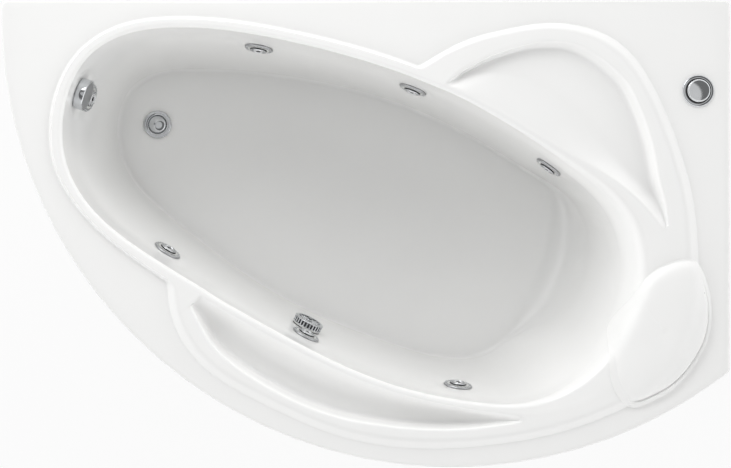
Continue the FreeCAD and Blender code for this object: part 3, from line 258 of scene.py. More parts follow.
# ---- meshes ----
def linked(name, data):
    """A new object in the scene."""
    obj = bpy.data.objects.new(name, data)
    bpy.context.scene.collection.objects.link(obj)
    return obj


def applied(obj):
    """The mesh of an object with its modifiers applied."""
    return bpy.data.meshes.new_from_object(obj.evaluated_get(bpy.context.evaluated_depsgraph_get()))


def mesh_of(name, verts, faces):
    """A mesh from points in millimetres."""
    mesh = bpy.data.meshes.new(name)
    mesh.from_pydata([(x / 1000, y / 1000, z / 1000) for x, y, z in verts], [], faces)
    return mesh


def piece(name, verts, faces, material, body="bath", smooth=True):
    """A mesh object from points in millimetres and faces, with its place in its mesh."""
    mesh = mesh_of(name, verts, faces)
    mesh.update()
    return finished(name, mesh, material, body, smooth)


def finished(name, mesh, material, body="bath", smooth=True):
    """An object with one material that moves with a body; without a body it stands still."""
    obj = linked(name, mesh)
    mesh.materials.clear()
    mesh.materials.append(bpy.data.materials[material])
    for polygon in mesh.polygons:
        polygon.use_smooth = smooth
    if body:
        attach(obj, body)
    return obj


def arc(radius, start, end, count, centre=(0, 0)):
    """Points on a circle between two angles."""
    return [(centre[0] + radius * cos(a), centre[1] + radius * sin(a))
            for a in np.linspace(start, end, count)]


def closed_skin(first, rings, last):
    """Points and faces of a skin from one point over equal rings to another point."""
    count = len(rings[0])
    verts = [first] + [tuple(point) for ring in rings for point in ring] + [last]
    starts = [1 + k * count for k in range(len(rings))]
    around = [(k, (k + 1) % count) for k in range(count)]
    faces = [(0, 1 + k, 1 + j) for k, j in around]
    for a, b in zip(starts, starts[1:]):
        faces += [(a + k, b + k, b + j, a + j) for k, j in around]
    faces += [(starts[-1] + j, starts[-1] + k, len(verts) - 1) for k, j in around]
    return verts, faces


def lathe(profile, segments):
    """Points and faces of a closed solid turned about z from (radius, height) corners."""
    verts, faces, rings = [], [], []
    for radius, height in profile:
        if radius < 1e-6:
            rings.append([len(verts)])
            verts.append((0, 0, height))
        else:
            rings.append([len(verts) + k for k in range(segments)])
            for k in range(segments):
                turn = 2 * pi * k / segments
                verts.append((radius * cos(turn), radius * sin(turn), height))
    closed = profile[0][0] > 1e-6 and profile[-1][0] > 1e-6
    pairs = list(zip(rings, rings[1:])) + ([(rings[-1], rings[0])] if closed else [])
    for first, second in pairs:
        for k in range(segments):
            j = (k + 1) % segments
            # A ring on the axis is a single point, so its faces have fewer corners.
            face = dict.fromkeys([first[k % len(first)], first[j % len(first)],
                                  second[j % len(second)], second[k % len(second)]])
            if len(face) > 2:
                faces.append(tuple(face))
    return verts, faces


def outward(mesh):
    """Merges doubles and turns all faces outwards."""
    work = bmesh.new()
    work.from_mesh(mesh)
    bmesh.ops.remove_doubles(work, verts=work.verts, dist=1e-7)
    bmesh.ops.recalc_face_normals(work, faces=work.faces)
    work.to_mesh(mesh)
    work.free()


def turned(name, profile, place, material, body="bath", segments=96, sharp=35):
    """A turned piece with its profile in millimetres, put at a place given as a matrix in metres."""
    mesh = mesh_of(name, *lathe(profile, segments))
    outward(mesh)
    mesh.transform(place)
    mesh.update()
    obj = finished(name, mesh, material, body)
    mesh.set_sharp_from_angle(angle=radians(sharp))
    return obj


def paint(obj, place, material, wanted):
    """Gives another material to the faces that a test on (radius, height) in millimetres picks."""
    obj.data.materials.append(bpy.data.materials[material])
    index = len(obj.data.materials) - 1
    back = place.inverted()
    for polygon in obj.data.polygons:
        spot = back @ polygon.center * 1000
        if wanted(hypot(spot.x, spot.y), spot.z):
            polygon.material_index = index


def rounded(profile, cut=0.8, steps=3):
    """A profile whose inner corners are rounded by small curves."""
    out = [profile[0]]
    for before, corner, after in zip(profile, profile[1:], profile[2:]):
        b, c, a = Vector(before), Vector(corner), Vector(after)
        reach = min(cut, (c - b).length * 0.45, (a - c).length * 0.45)
        if reach < 1e-4:
            out.append(corner)
            continue
        start, end = c + (b - c).normalized() * reach, c + (a - c).normalized() * reach
        for k in range(steps + 1):
            t = k / steps
            p = start * (1 - t) ** 2 + c * 2 * t * (1 - t) + end * t * t
            out.append((max(p.x, 0.0), p.y))
    return out + [profile[-1]]


def hoop(profile, cut):
    """A rounded ring section that ends where it starts."""
    return rounded(profile, cut) + [profile[0]]


def facing(position, z_axis, x_axis=None):
    """Matrix in metres with z along the given axis; x is level unless given."""
    z = Vector(z_axis).normalized()
    x = Vector(x_axis).normalized() if x_axis else UP.cross(z).normalized()
    y = z.cross(x)
    return Matrix.Translation(Vector(position)) @ Matrix((x, y, z)).transposed().to_4x4()


def joint_place(name):
    """Matrix in metres of a joint, with z along its axis."""
    joint = joints[name]
    return facing(joint["pos_m"], joint["axis"])


def rib_ring_tree():
    """Geometry Nodes group: equal bars that stand radially round a circle about z."""
    tree = bpy.data.node_groups.new("rib_ring", "GeometryNodeTree")
    tree.interface.new_socket("Geometry", in_out="OUTPUT", socket_type="NodeSocketGeometry")
    wanted = (("Count", "NodeSocketInt"), ("Radius", "NodeSocketFloat"), ("Height", "NodeSocketFloat"),
              ("Bar", "NodeSocketVector"), ("Material", "NodeSocketMaterial"))
    for name, kind in wanted:
        tree.interface.new_socket(name, in_out="INPUT", socket_type=kind)
    given = node(tree, "NodeGroupInput").outputs
    circle = node(tree, "GeometryNodeMeshCircle",
                  links={"Vertices": given["Count"], "Radius": given["Radius"]})
    bar = node(tree, "GeometryNodeMeshCube", links={"Size": given["Bar"]})
    where = node(tree, "GeometryNodeInputPosition")
    turn = node(tree, "FunctionNodeAlignRotationToVector", links={"Vector": where}, axis="X")
    bars = node(tree, "GeometryNodeInstanceOnPoints",
                links={"Points": circle, "Instance": bar, "Rotation": turn})
    real = node(tree, "GeometryNodeRealizeInstances", links={"Geometry": bars})
    lift = node(tree, "ShaderNodeCombineXYZ", links={"Z": given["Height"]})
    moved = node(tree, "GeometryNodeTransform", links={"Geometry": real, "Translation": lift})
    made = node(tree, "GeometryNodeSetMaterial",
                links={"Geometry": moved, "Material": given["Material"]})
    node(tree, "NodeGroupOutput", links={"Geometry": made})
    return tree


def rib_ring(name, place, material, body, count, radius, height, bar, bevel=0.3):
    """Bars round a circle, sizes in millimetres, put at a place given as a matrix in metres."""
    tree = bpy.data.node_groups.get("rib_ring") or rib_ring_tree()
    holder = linked(name, bpy.data.meshes.new(name))
    modifier = holder.modifiers.new("ribs", "NODES")
    modifier.node_group = tree
    values = {"Count": count, "Radius": radius / 1000, "Height": height / 1000,
              "Bar": [size / 1000 for size in bar], "Material": bpy.data.materials[material]}
    for item in tree.interface.items_tree:
        if item.in_out == "INPUT":
            modifier[item.identifier] = values[item.name]
    edge = holder.modifiers.new("edge", "BEVEL")
    edge.width = bevel / 1000
    edge.segments = 2
    made = applied(holder)
    bpy.data.objects.remove(holder)
    made.name = name
    made.transform(place)
    return finished(name, made, material, body)


# ---- curves in plan ----
def closed_curve(points, count=1600):
    """Dense points of the smooth closed curve through the given ones."""
    pts = np.array(points, float)
    n = len(pts)
    span = np.linalg.norm(np.roll(pts, -1, 0) - pts, axis=1)
    before = np.roll(span, 1)
    same = np.eye(n)
    rows = 2 * np.diag(span + before)
    rows += span[:, None] * np.roll(same, -1, 1) + before[:, None] * np.roll(same, 1, 1)
    slope = (np.roll(pts, -1, 0) - pts) / span[:, None]
    right = 3 * (before[:, None] * slope + span[:, None] * np.roll(slope, 1, 0))
    tangent = np.linalg.solve(rows, right)
    out = []
    for i in range(n):
        j = (i + 1) % n
        for t in np.linspace(0, 1, count // n, endpoint=False):
            h00, h10 = 2 * t ** 3 - 3 * t ** 2 + 1, t ** 3 - 2 * t ** 2 + t
            h01, h11 = -2 * t ** 3 + 3 * t ** 2, t ** 3 - t ** 2
            out.append(h00 * pts[i] + h10 * span[i] * tangent[i]
                       + h01 * pts[j] + h11 * span[i] * tangent[j])
    return np.array(out)


def open_curve(points, count=400):
    """Dense points of a smooth open curve (Catmull-Rom)."""
    pts = [np.array(p, float) for p in points]
    pts = [2 * pts[0] - pts[1]] + pts + [2 * pts[-1] - pts[-2]]
    out = []
    steps = count // (len(pts) - 3)
    for a, b, c, d in zip(pts, pts[1:], pts[2:], pts[3:]):
        for t in np.linspace(0, 1, steps, endpoint=False):
            out.append(0.5 * (2 * b + (c - a) * t + (2 * a - 5 * b + 4 * c - d) * t * t
                              + (3 * b - 3 * c + d - a) * t ** 3))
    out.append(pts[-2])
    return np.array(out)


def seen_radius(curve, rays, pole=POLE, closed=True):
    """Distance from the pole to a curve along each ray; an open curve gives zero beyond its ends."""
    away = curve - np.array(pole)
    angle = np.arctan2(away[:, 1], away[:, 0])
    radius = np.hypot(away[:, 0], away[:, 1])
    if closed:
        order = np.argsort(angle)
        return np.interp(rays, angle[order], radius[order], period=2 * pi)
    order = np.argsort(angle)
    return np.interp(rays, angle[order], radius[order], left=0.0, right=0.0)


def inset_line(line, distance):
    """A closed anticlockwise line moved inwards."""
    along = np.roll(line, -1, 0) - np.roll(line, 1, 0)
    along /= np.linalg.norm(along, axis=1)[:, None]
    return line + distance * np.stack([-along[:, 1], along[:, 0]], 1)


def deck_line(corner, step=4.0):
    """The rim's outline, anticlockwise: three straight edges and the curved front."""
    middle_x, middle_y = FRONT_CENTRE
    start = atan2(RIM_LEFT_END - middle_y, -RIM_SIDE - middle_x) - 2 * pi
    end = atan2(RIM_RIGHT_END - middle_y, RIM_SIDE - middle_x)
    line = arc(FRONT_RADIUS, start, end, 240, FRONT_CENTRE) + DECK_CORNERS[1::-1]
    out = []
    for i, here in enumerate(line):
        last, following = np.array(line[i - 1]), np.array(line[(i + 1) % len(line)])
        here = np.array(here, float)
        back, ahead = last - here, following - here
        long_back, long_ahead = np.linalg.norm(back), np.linalg.norm(ahead)
        reach = min(corner, 0.45 * long_back, 0.45 * long_ahead)
        a, b = here + back / long_back * reach, here + ahead / long_ahead * reach
        turn = abs(back[0] * ahead[1] - back[1] * ahead[0]) / long_back / long_ahead
        if turn < 0.05:
            out.append(here)
            continue
        out += [a * (1 - t) ** 2 + here * 2 * t * (1 - t) + b * t * t for t in np.linspace(0, 1, 7)]
    dense = []
    for a, b in zip(out, out[1:] + out[:1]):
        count = max(1, int(np.linalg.norm(b - a) // step))
        dense += [a + (b - a) * k / count for k in range(count)]
    return np.array(dense)


def smooth(value):
    """A soft step: 0 below 0, 1 above 1, and a level start and end between them."""
    value = np.clip(value, 0.0, 1.0)
    return value * value * (3 - 2 * value)


def blurred(rays, values, width):
    """Values round the pole, smoothed over a width in radians."""
    even = np.linspace(-pi, pi, 720, endpoint=False)
    level = np.interp(even, rays, values, period=2 * pi)
    apart = (even - even[0] + pi) % (2 * pi) - pi
    weight = np.exp(-(apart / width) ** 2)
    level = np.real(np.fft.ifft(np.fft.fft(level) * np.fft.fft(weight / weight.sum())))
    return np.interp(rays, even, level, period=2 * pi)


class Shell:
    """The moulded shell as a fan of profiles about its pole, in millimetres."""

    RIM_CORNER = 12  # number of the corner where the upper face ends at the rim
    PAD = 12.0  # thickness of the flat pads for the fittings
    PAD_RANGE = 40  # how far from its plane a pad draws the wall in

    def __init__(self, sizes):
        outline = deck_line(14.0)
        rays = list(np.linspace(-pi, pi, 560, endpoint=False))
        for x, y in DECK_CORNERS:
            corner = atan2(y - POLE[1], x - POLE[0])
            rays += [corner + d * 0.0022 for d in range(-7, 8)]
        self.rays = rays = np.array(sorted(set(round(r, 6) for r in rays)))
        edge = seen_radius(closed_curve(BASIN_EDGE), rays)
        shoulder = seen_radius(closed_curve(BASIN_SHOULDER), rays)
        foot = seen_radius(closed_curve(BASIN_FLOOR), rays)
        rim = seen_radius(outline, rays)
        rim_inner = seen_radius(inset_line(outline, WALL), rays)
        band = np.maximum(seen_radius(closed_curve(BAND_EDGE), rays), edge)
        recess = seen_radius(open_curve(RECESS_FAR), rays, closed=False)
        tray = seen_radius(open_curve(TRAY_FAR), rays, closed=False)
        self.deck_z = deck = sizes.rim_height * 1000
        lip = deck + sizes.lip_rise * 1000
        floor = deck - sizes.basin_depth * 1000
        # The two hollows: how far each reaches beyond the basin's edge, and how deep it is.
        in_recess = np.maximum(recess - edge, 0.0)
        in_tray = np.maximum(tray - edge, 0.0)
        pocket = np.maximum(in_recess, in_tray)
        is_tray = in_tray > in_recess
        depth = np.where(is_tray, 52.0 * smooth(in_tray / 75), np.minimum(26.0, 0.45 * in_recess))
        bottom = lip - depth
        near_r = np.where(is_tray, edge + 0.30 * pocket, edge + 0.45 * pocket)
        near_z = np.where(is_tray, lip - depth * 0.66, lip - depth * 0.80)
        far = edge + pocket
        gap = np.minimum(pocket, 60)
        far_low = np.where(is_tray, far - 0.12 * gap, far - 0.20 * gap)
        # The back rest runs into the floor in a longer cove than the other walls.
        back_rest = np.exp(-((rays + 0.24) / 0.30) ** 4)
        foot = foot + 5 + 46 * back_rest
        cove = 12 + 95 * back_rest
        # The rolled lip is narrow beside a hollow and broad elsewhere.
        crest = edge - (12.0 - 8.5 * blurred(rays, smooth(pocket / 30), 0.07))
        roll = crest - shoulder
        spread = band - edge
        band = edge + 0.5 * (spread + np.sqrt(spread ** 2 + 14 ** 2))
        top_out = np.maximum(band - 16, far + 0.35 * (band - far))
        lean = (shoulder - foot) / (deck - SHOULDER_DEPTH - floor)
        under = np.minimum(bottom - WALL, deck - 16)
        # (radius, height, rounding reach, points along the run that ends here, steps round the corner)
        corners = [
            (0, floor, 0, 0, 0),
            (foot, floor, cove, 9, 8),
            (shoulder, deck - SHOULDER_DEPTH, 55, 12, 6),
            (shoulder + np.minimum(lean * 45 + 1.5, roll * 0.25), deck - 48, 40, 3, 6),
            (shoulder + roll * 0.36, lip - 5.0, 42, 3, 8),
            (crest, lip, 6, 2, 6),
            (near_r, near_z, np.where(is_tray, 22, 12), 5, 4),
            (far_low, bottom, np.where(is_tray, 13, 9), 5, 6),
            (far + 2 * smooth(gap / 20), lip - 1.2 * smooth(gap / 20), 6, 3, 4),
            (top_out, lip, np.minimum(14, 0.45 * (band - far) + 1), 3, 6),
            (band + 0.5, deck + 3.0, 5, 2, 4),
            (band + 4.5, deck, 4, 1, 4),
            (rim, deck, 6, 6, 4),
            (rim, deck - SKIRT, 0, 4, 0),
            (rim_inner, deck - SKIRT, 0, 1, 0),
            (rim_inner, deck - DECK_WALL, 3, 2, 4),
            (np.maximum(band, far + 14) + 2, deck - DECK_WALL, 4, 3, 4),
            (np.maximum(far, crest) + 10, under, 4, 1, 4),
            (shoulder + WALL + roll * 0.3, under, 10, 1, 4),
            (shoulder + WALL, deck - SHOULDER_DEPTH, 30, 3, 4),
            (foot + WALL, floor - WALL, cove, 8, 4),
            (0, floor - WALL, 0, 3, 0),
        ]
        even = np.ones_like(edge)
        points = [np.stack([corner[0] * even, corner[1] * even], 0) for corner in corners]
        rows, last = [points[0]], points[0]
        for k in range(1, len(corners) - 1):
            reach, along, around = corners[k][2:]
            back, ahead = points[k - 1] - points[k], points[k + 1] - points[k]
            long_back, long_ahead = np.linalg.norm(back, axis=0), np.linalg.norm(ahead, axis=0)
            cut = np.minimum(np.minimum(reach * even, 0.48 * long_back), 0.48 * long_ahead)
            start = points[k] + back / np.maximum(long_back, 1e-6) * cut
            end = points[k] + ahead / np.maximum(long_ahead, 1e-6) * cut
            rows += [last + (start - last) * step / along for step in range(1, along)]
            if around:
                rows += [start * (1 - t) ** 2 + points[k] * 2 * t * (1 - t) + end * t * t
                         for t in np.linspace(0, 1, around + 1)]
            else:
                rows.append(points[k])
            last = end
            if k == self.RIM_CORNER:
                self.rim_row = len(rows)
        along = corners[-1][3]
        rows += [last + (points[-1] - last) * step / along for step in range(1, along)]
        self.rows = rows + [points[-1]]

    def height(self, x, y):
        """Height of the upper face at a place."""
        ray = atan2(y - POLE[1], x - POLE[0])
        k = int(np.argmin(np.abs(self.rays - ray)))
        r = np.array([row[0][k] for row in self.rows[:self.rim_row]])
        z = np.array([row[1][k] for row in self.rows[:self.rim_row]])
        return float(np.interp(hypot(x - POLE[0], y - POLE[1]), np.maximum.accumulate(r), z))

    def mesh(self, pads):
        """Vertices and faces; pads are (matrix in metres, flat radius, radius of its blend)."""
        count = len(self.rays)
        across, up = np.cos(self.rays), np.sin(self.rays)
        rings = []
        for row in self.rows[1:-1]:
            rings.append(np.stack([POLE[0] + row[0] * across, POLE[1] + row[0] * up, row[1]], 1))
        cloud = np.concatenate(rings)
        upper = np.arange(len(cloud)) < self.rim_row * count
        for place, flat, reach in pads:
            turn = np.array(place.to_3x3())
            centre = np.array(place.translation) * 1000
            here = (cloud - centre) @ turn
            away = np.hypot(here[:, 0], here[:, 1])
            blend = smooth((away - flat) / (reach - flat))
            level = np.where(upper, 0.0, -self.PAD)
            near = (away < reach) & (np.abs(here[:, 2]) < self.PAD_RANGE)
            here[near, 2] = (level + (here[:, 2] - level) * blend)[near]
            cloud[near] = here[near] @ turn.T + centre
        return closed_skin((*POLE, self.rows[0][1][0]), cloud.reshape(len(rings), count, 3),
                           (*POLE, self.rows[-1][1][0]))


# ---- sizes that a user may change ----
def length(name, description, default):
    return bpy.props.FloatProperty(name=name, description=description, default=default, unit="LENGTH")


class ShellSizes(bpy.types.PropertyGroup):
    rim_height: length("Rim height", "Top of the deck above the floor", DECK_TOP)
    basin_depth: length("Basin depth", "Deck to the floor of the basin", 0.430)
    lip_rise: length("Lip rise", "Raised lip and bands above the deck", 0.012)


class HeadrestSizes(bpy.types.PropertyGroup):
    crown: length("Crown", "Top of the headrest above the deck", 0.036)
    thickness: length("Thickness", "Thickness over the rolled edge of the basin", 0.020)


class FittingSizes(bpy.types.PropertyGroup):
    suction_slots: bpy.props.IntProperty(
        name="Suction ribs", description="Ribs round the suction cover", default=28, min=8)
    jet_lobes: bpy.props.IntProperty(
        name="Jet grips", description="Finger grips round the ring of a jet", default=24, min=0)


class StageSizes(bpy.types.PropertyGroup):
    camera_height: length("Camera height", "Camera above the deck", CAMERA_HEIGHT)
    floor_size: length("Floor size", "Side of the pale floor", 14.0)


@cache
def shell_form():
    """The shell's profile fan, made once."""
    return Shell(bpy.context.scene.bath_shell)


def eased(tree, value, start, end, first, last):
    """A value that goes softly from first to last while another one goes from start to end."""
    limits = {"From Min": start, "From Max": end, "To Min": first, "To Max": last}
    return node(tree, "ShaderNodeMapRange", limits, {"Value": value},
                interpolation_type="SMOOTHSTEP")


def combined(tree, operation, first, second):
    """Two values put together by a math node."""
    return node(tree, "ShaderNodeMath", links={0: first, 1: second}, operation=operation)


def box_centre(name):
    """Middle of a CAD node's box, in metres."""
    low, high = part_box(name)
    return (Vector(low) + Vector(high)) / 2


def cut_holes(obj, holes):
    """Cuts round holes, each (matrix, radius, low, high) in metres, out of the object in one step."""
    work = bmesh.new()
    for place, radius, low, high in holes:
        made = bmesh.ops.create_cone(work, cap_ends=True, segments=64, radius1=radius, radius2=radius,
                                     depth=high - low)
        shift = place @ Matrix.Translation((0, 0, (low + high) / 2))
        bmesh.ops.transform(work, verts=made["verts"], matrix=shift)
    mesh = bpy.data.meshes.new("hole_cutter")
    work.to_mesh(mesh)
    work.free()
    tool = linked("hole_cutter", mesh)
    modifier = obj.modifiers.new("holes", "BOOLEAN")
    modifier.operation = "DIFFERENCE"
    modifier.solver = "EXACT"
    modifier.object = tool
    made = applied(obj)
    obj.modifiers.remove(modifier)
    obj.data = made
    bpy.data.objects.remove(tool)


class BATH_OT_stage(bpy.types.Operator):
    """Pale floor, soft light and the camera above the bath"""
    bl_idname = "bath.stage"
    bl_label = "Stage"

    def execute(self, context):
        sizes = context.scene.bath_stage
        half = sizes.floor_size * 500
        corners = [(-half, -half, -1), (half, -half, -1), (half, half, -1), (-half, half, -1)]
        floor = piece("studio_floor", corners, [(0, 1, 2, 3)], self.floor_paint(), None, False)
        self.sky(context.scene)
        self.lamp(Vector((-0.9, 2.4, 2.6)), Vector((0.0, -0.1, 0.4)))
        self.camera(context.scene, context.scene.bath_shell.rim_height + sizes.camera_height)
        context.scene.view_settings.view_transform = "Standard"
        return {"FINISHED"}

    @staticmethod
    def floor_paint():
        # Matt studio paint; its glow is seen, also by reflection, but doesn't light the bath.
        material, tree = blank("pale_floor")
        matt = node(tree, "ShaderNodeBsdfDiffuse", {"Color": linear("E6E6E6")})
        glow = node(tree, "ShaderNodeEmission", {"Color": (1, 1, 1, 1), "Strength": 1.0})
        rays = node(tree, "ShaderNodeLightPath").outputs
        seen = combined(tree, "MAXIMUM", rays["Is Camera Ray"], rays["Is Glossy Ray"])
        seen = combined(tree, "MAXIMUM", seen, rays["Is Transmission Ray"])
        share = node(tree, "ShaderNodeMath", {1: 0.90}, {0: seen}, operation="MULTIPLY")
        mix = node(tree, "ShaderNodeMixShader", links={0: share, 1: matt, 2: glow})
        node(tree, "ShaderNodeOutputMaterial", links={"Surface": mix})
        return material.name

    @staticmethod
    def sky(scene):
        """Bright sides, a dark ring above them and a small bright cap straight overhead."""
        world = scene.world or bpy.data.worlds.new("studio")
        scene.world = world
        world.use_nodes = True
        tree = world.node_tree
        tree.nodes.clear()
        view = node(tree, "ShaderNodeTexCoord").outputs["Generated"]
        up = node(tree, "ShaderNodeSeparateXYZ", links={"Vector": view}).outputs["Z"]
        walls = combined(tree, "MULTIPLY", eased(tree, up, 0.42, 0.86, 1.58, 0.18),
                         eased(tree, up, 0.02, 0.20, 0.70, 1.0))
        strength = combined(tree, "ADD", walls, eased(tree, up, 0.950, 0.962, 0.0, 0.48))
        soft = node(tree, "ShaderNodeBackground", {"Color": linear("FFFFFF")}, {"Strength": strength})
        node(tree, "ShaderNodeOutputWorld", links={"Surface": soft})

    @staticmethod
    def camera(scene, height):
        """A camera straight above the middle of the bath that shows the photo's part of the deck."""
        camera = bpy.data.cameras.new("camera")
        camera.sensor_width = 36.0
        camera.lens = camera.sensor_width * CAMERA_HEIGHT / VIEW_WIDTH
        camera.clip_end = 50
        holder = linked("camera", camera)
        holder.location = (0, 0, height)
        scene.camera = holder

    @staticmethod
    def lamp(spot, aim):
        """A broad soft lamp above and behind the back wall."""
        light = bpy.data.lights.new("key_top", "AREA")
        light.shape = "DISK"
        light.size = 1.8
        light.energy = 25
        holder = linked("key_top", light)
        holder.location = spot
        holder.rotation_euler = (aim - spot).to_track_quat("-Z", "Y").to_euler()


class BATH_OT_shell(bpy.types.Operator):
    """Moulded shell with its basin, arm recess, tray, raised bands and flat pads for the fittings"""
    bl_idname = "bath.shell"
    bl_label = "Shell"

    def execute(self, context):
        form = shell_form()
        jets = [joint_place("jet_ring_%d_turn" % k) for k in range(1, 8)]
        suction = facing(SUCTION_SPOT, SUCTION_AXIS)
        overflow = joint_place("overflow_knob_turn")
        # Flat pads: place, flat radius and the radius where the wall takes over, in millimetres.
        pads = [(place, 36.0, 58.0) for place in jets]
        pads += [(suction, 39.0, 64.0), (overflow, 39.0, 60.0)]
        verts, faces = form.mesh(pads)
        obj = piece("moulded_shell", verts, faces, sanitary_acrylic())
        outward(obj.data)
        waste, button = box_centre("waste_flange"), box_centre("button_housing")
        small, large, widest = 0.0242, 0.0272, 0.0282
        below, above = -0.05, 0.03
        holes = [(place, small, below, above) for place in jets + [overflow]]
        holes.append((suction, large, below, above))
        holes.append((Matrix.Translation((waste.x, waste.y, BASIN_BOTTOM)), large, below, 0.02))
        holes.append((Matrix.Translation((button.x, button.y, DECK_TOP)), widest, below, 0.02))
        cut_holes(obj, holes)
        for polygon in obj.data.polygons:
            polygon.use_smooth = True
        obj.data.set_sharp_from_angle(angle=radians(50))
        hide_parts("tub_shell")
        return {"FINISHED"}


class BATH_OT_headrest(bpy.types.Operator):
    """Soft headrest that hugs the rolled edge at the broad end"""
    bl_idname = "bath.headrest"
    bl_label = "Headrest"

    OUTLINE = [
        (722, -57), (748, -101), (759, -166), (748, -236), (713, -297), (665, -347), (621, -371),
        (582, -381), (556, -363), (539, -332), (534, -262), (542, -206), (578, -149), (621, -88),
        (669, -60)
    ]
    MIDDLE = (652, -218)
    # Rings as shares of the way from the middle to the outline, close together at the groove.
    SHARES = [0, 0.12, 0.24, 0.36, 0.48, 0.58, 0.67, 0.75, 0.81, 0.85, 0.875, 0.89, 0.903, 0.915,
              0.927, 0.94, 0.957, 0.975, 0.99, 1.0]
    GROOVE = 0.915

    def execute(self, context):
        sizes = context.scene.bath_headrest
        form = shell_form()
        crown = form.deck_z + sizes.crown * 1000
        cover = sizes.thickness * 1000
        rays = np.linspace(-pi, pi, 200, endpoint=False)
        reach = seen_radius(closed_curve(self.OUTLINE), rays, self.MIDDLE) - 1.0
        tops, lows = [], []
        for share in self.SHARES:
            ring_top, ring_low = [], []
            for ray, far in zip(rays, reach):
                x = self.MIDDLE[0] + share * far * cos(ray)
                y = self.MIDDLE[1] + share * far * sin(ray)
                under = form.height(x, y)
                dome = crown - 26 * share ** 14 - 6 * share ** 2
                # Towards the basin the pad follows the rolled edge and runs out softly.
                inner = max(-cos(ray - 0.6), 0.0)
                swell = under + cover * (1 - share ** (8 - 5 * inner)) + 6 - 4.5 * inner
                blend = 14.0 + 34.0 * share * inner
                gap = max(blend - abs(dome - swell), 0.0) / blend
                top = min(dome, swell) - gap * gap * blend * 0.25
                # Away from the basin it has a groove and a lip outside the groove.
                outer = max(cos(ray + 0.55), 0.0) ** 0.5
                groove = 7.0 * outer * exp(-((share - self.GROOVE) / 0.020) ** 2)
                top = max(top - groove, under + 1.5 + 10.0 * outer * (share > 0.93))
                ring_top.append((x, y, top))
                ring_low.append((x, y, under + 0.5))
            tops.append(ring_top)
            lows.append(ring_low)
        verts, faces = closed_skin(tops[0][0], tops[1:] + lows[:0:-1], lows[0][0])
        obj = piece("soft_headrest", verts, faces, skin_foam())
        outward(obj.data)
        modifier = obj.modifiers.new("smooth", "SUBSURF")
        modifier.levels = modifier.render_levels = 1
        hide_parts("headrest")
        return {"FINISHED"}


class BATH_OT_jets(bpy.types.Operator):
    """Seven jets, each with a turning chrome ring, a groove coloured black as painted shade, and a
    tilting nozzle whose bore is coloured black as painted shade
    """
    bl_idname = "bath.jets"
    bl_label = "Jets"

    def execute(self, context):
        sizes = context.scene.bath_fittings
        ball_radius, seat_radius = 14, 14.35
        seat = arc(seat_radius, -0.55, 0.42, 9)
        ring = rounded([(18.9, -8.2), (18.9, 0.8), (33.0, 0.8), (33.0, 2.6), (31.6, 4.4), (28.5, 5.4),
                        (25.2, 5.2), (24.2, 4.2), (23.8, 2.2), (19.6, 2.2), (19.2, 8.4), (17.6, 9.8),
                        (15.0, 9.4), seat[-1]], 0.7)
        ring = [(14.0, -8.2)] + ring + seat[::-1]
        ball = [(5.0, -9.3)] + arc(ball_radius, -0.73, 0.73, 15) + [(7.6, 9.9), (5.4, 9.0), (5.0, 7.5)]
        for number in range(1, 8):
            place = joint_place("jet_ring_%d_turn" % number)
            obj = turned("jet_ring_chrome_%d" % number, ring, place, CHROME, "jet_ring_%d" % number)
            paint(obj, place, SATIN, lambda r, z: r > 24.6 and z > 1.0)
            # Painted shade: the side of the boss under the rim is coloured black where it lies in
            # shade.
            paint(obj, place, BLACK_NYLON_AND_SHADE, lambda r, z: 19.1 < r < 24.1 and 1.9 < z < 8.1)
            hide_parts("jet_ring_%d" % number)
            grips = rib_ring("jet_ring_grips_%d" % number, place, CHROME, "jet_ring_%d" % number,
                             sizes.jet_lobes, 29.4, 5.1, (4.2, 1.3, 1.4), 0.4)
            tilt = joints["jet_nozzle_%d_tilt" % number]
            place = facing(tilt["pos_m"], joints["jet_ring_%d_turn" % number]["axis"], tilt["axis"])
            obj = turned("jet_nozzle_ball_%d" % number, ball, place, BALL_SKIN,
                         "jet_nozzle_%d" % number, 64)
            # Painted shade: the inside of the nozzle's bore is coloured black where it lies in shade.
            paint(obj, place, BLACK_NYLON_AND_SHADE, lambda r, z: r < 5.7 and z < 9.8)
            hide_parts("jet_nozzle_%d" % number)
        return {"FINISHED"}


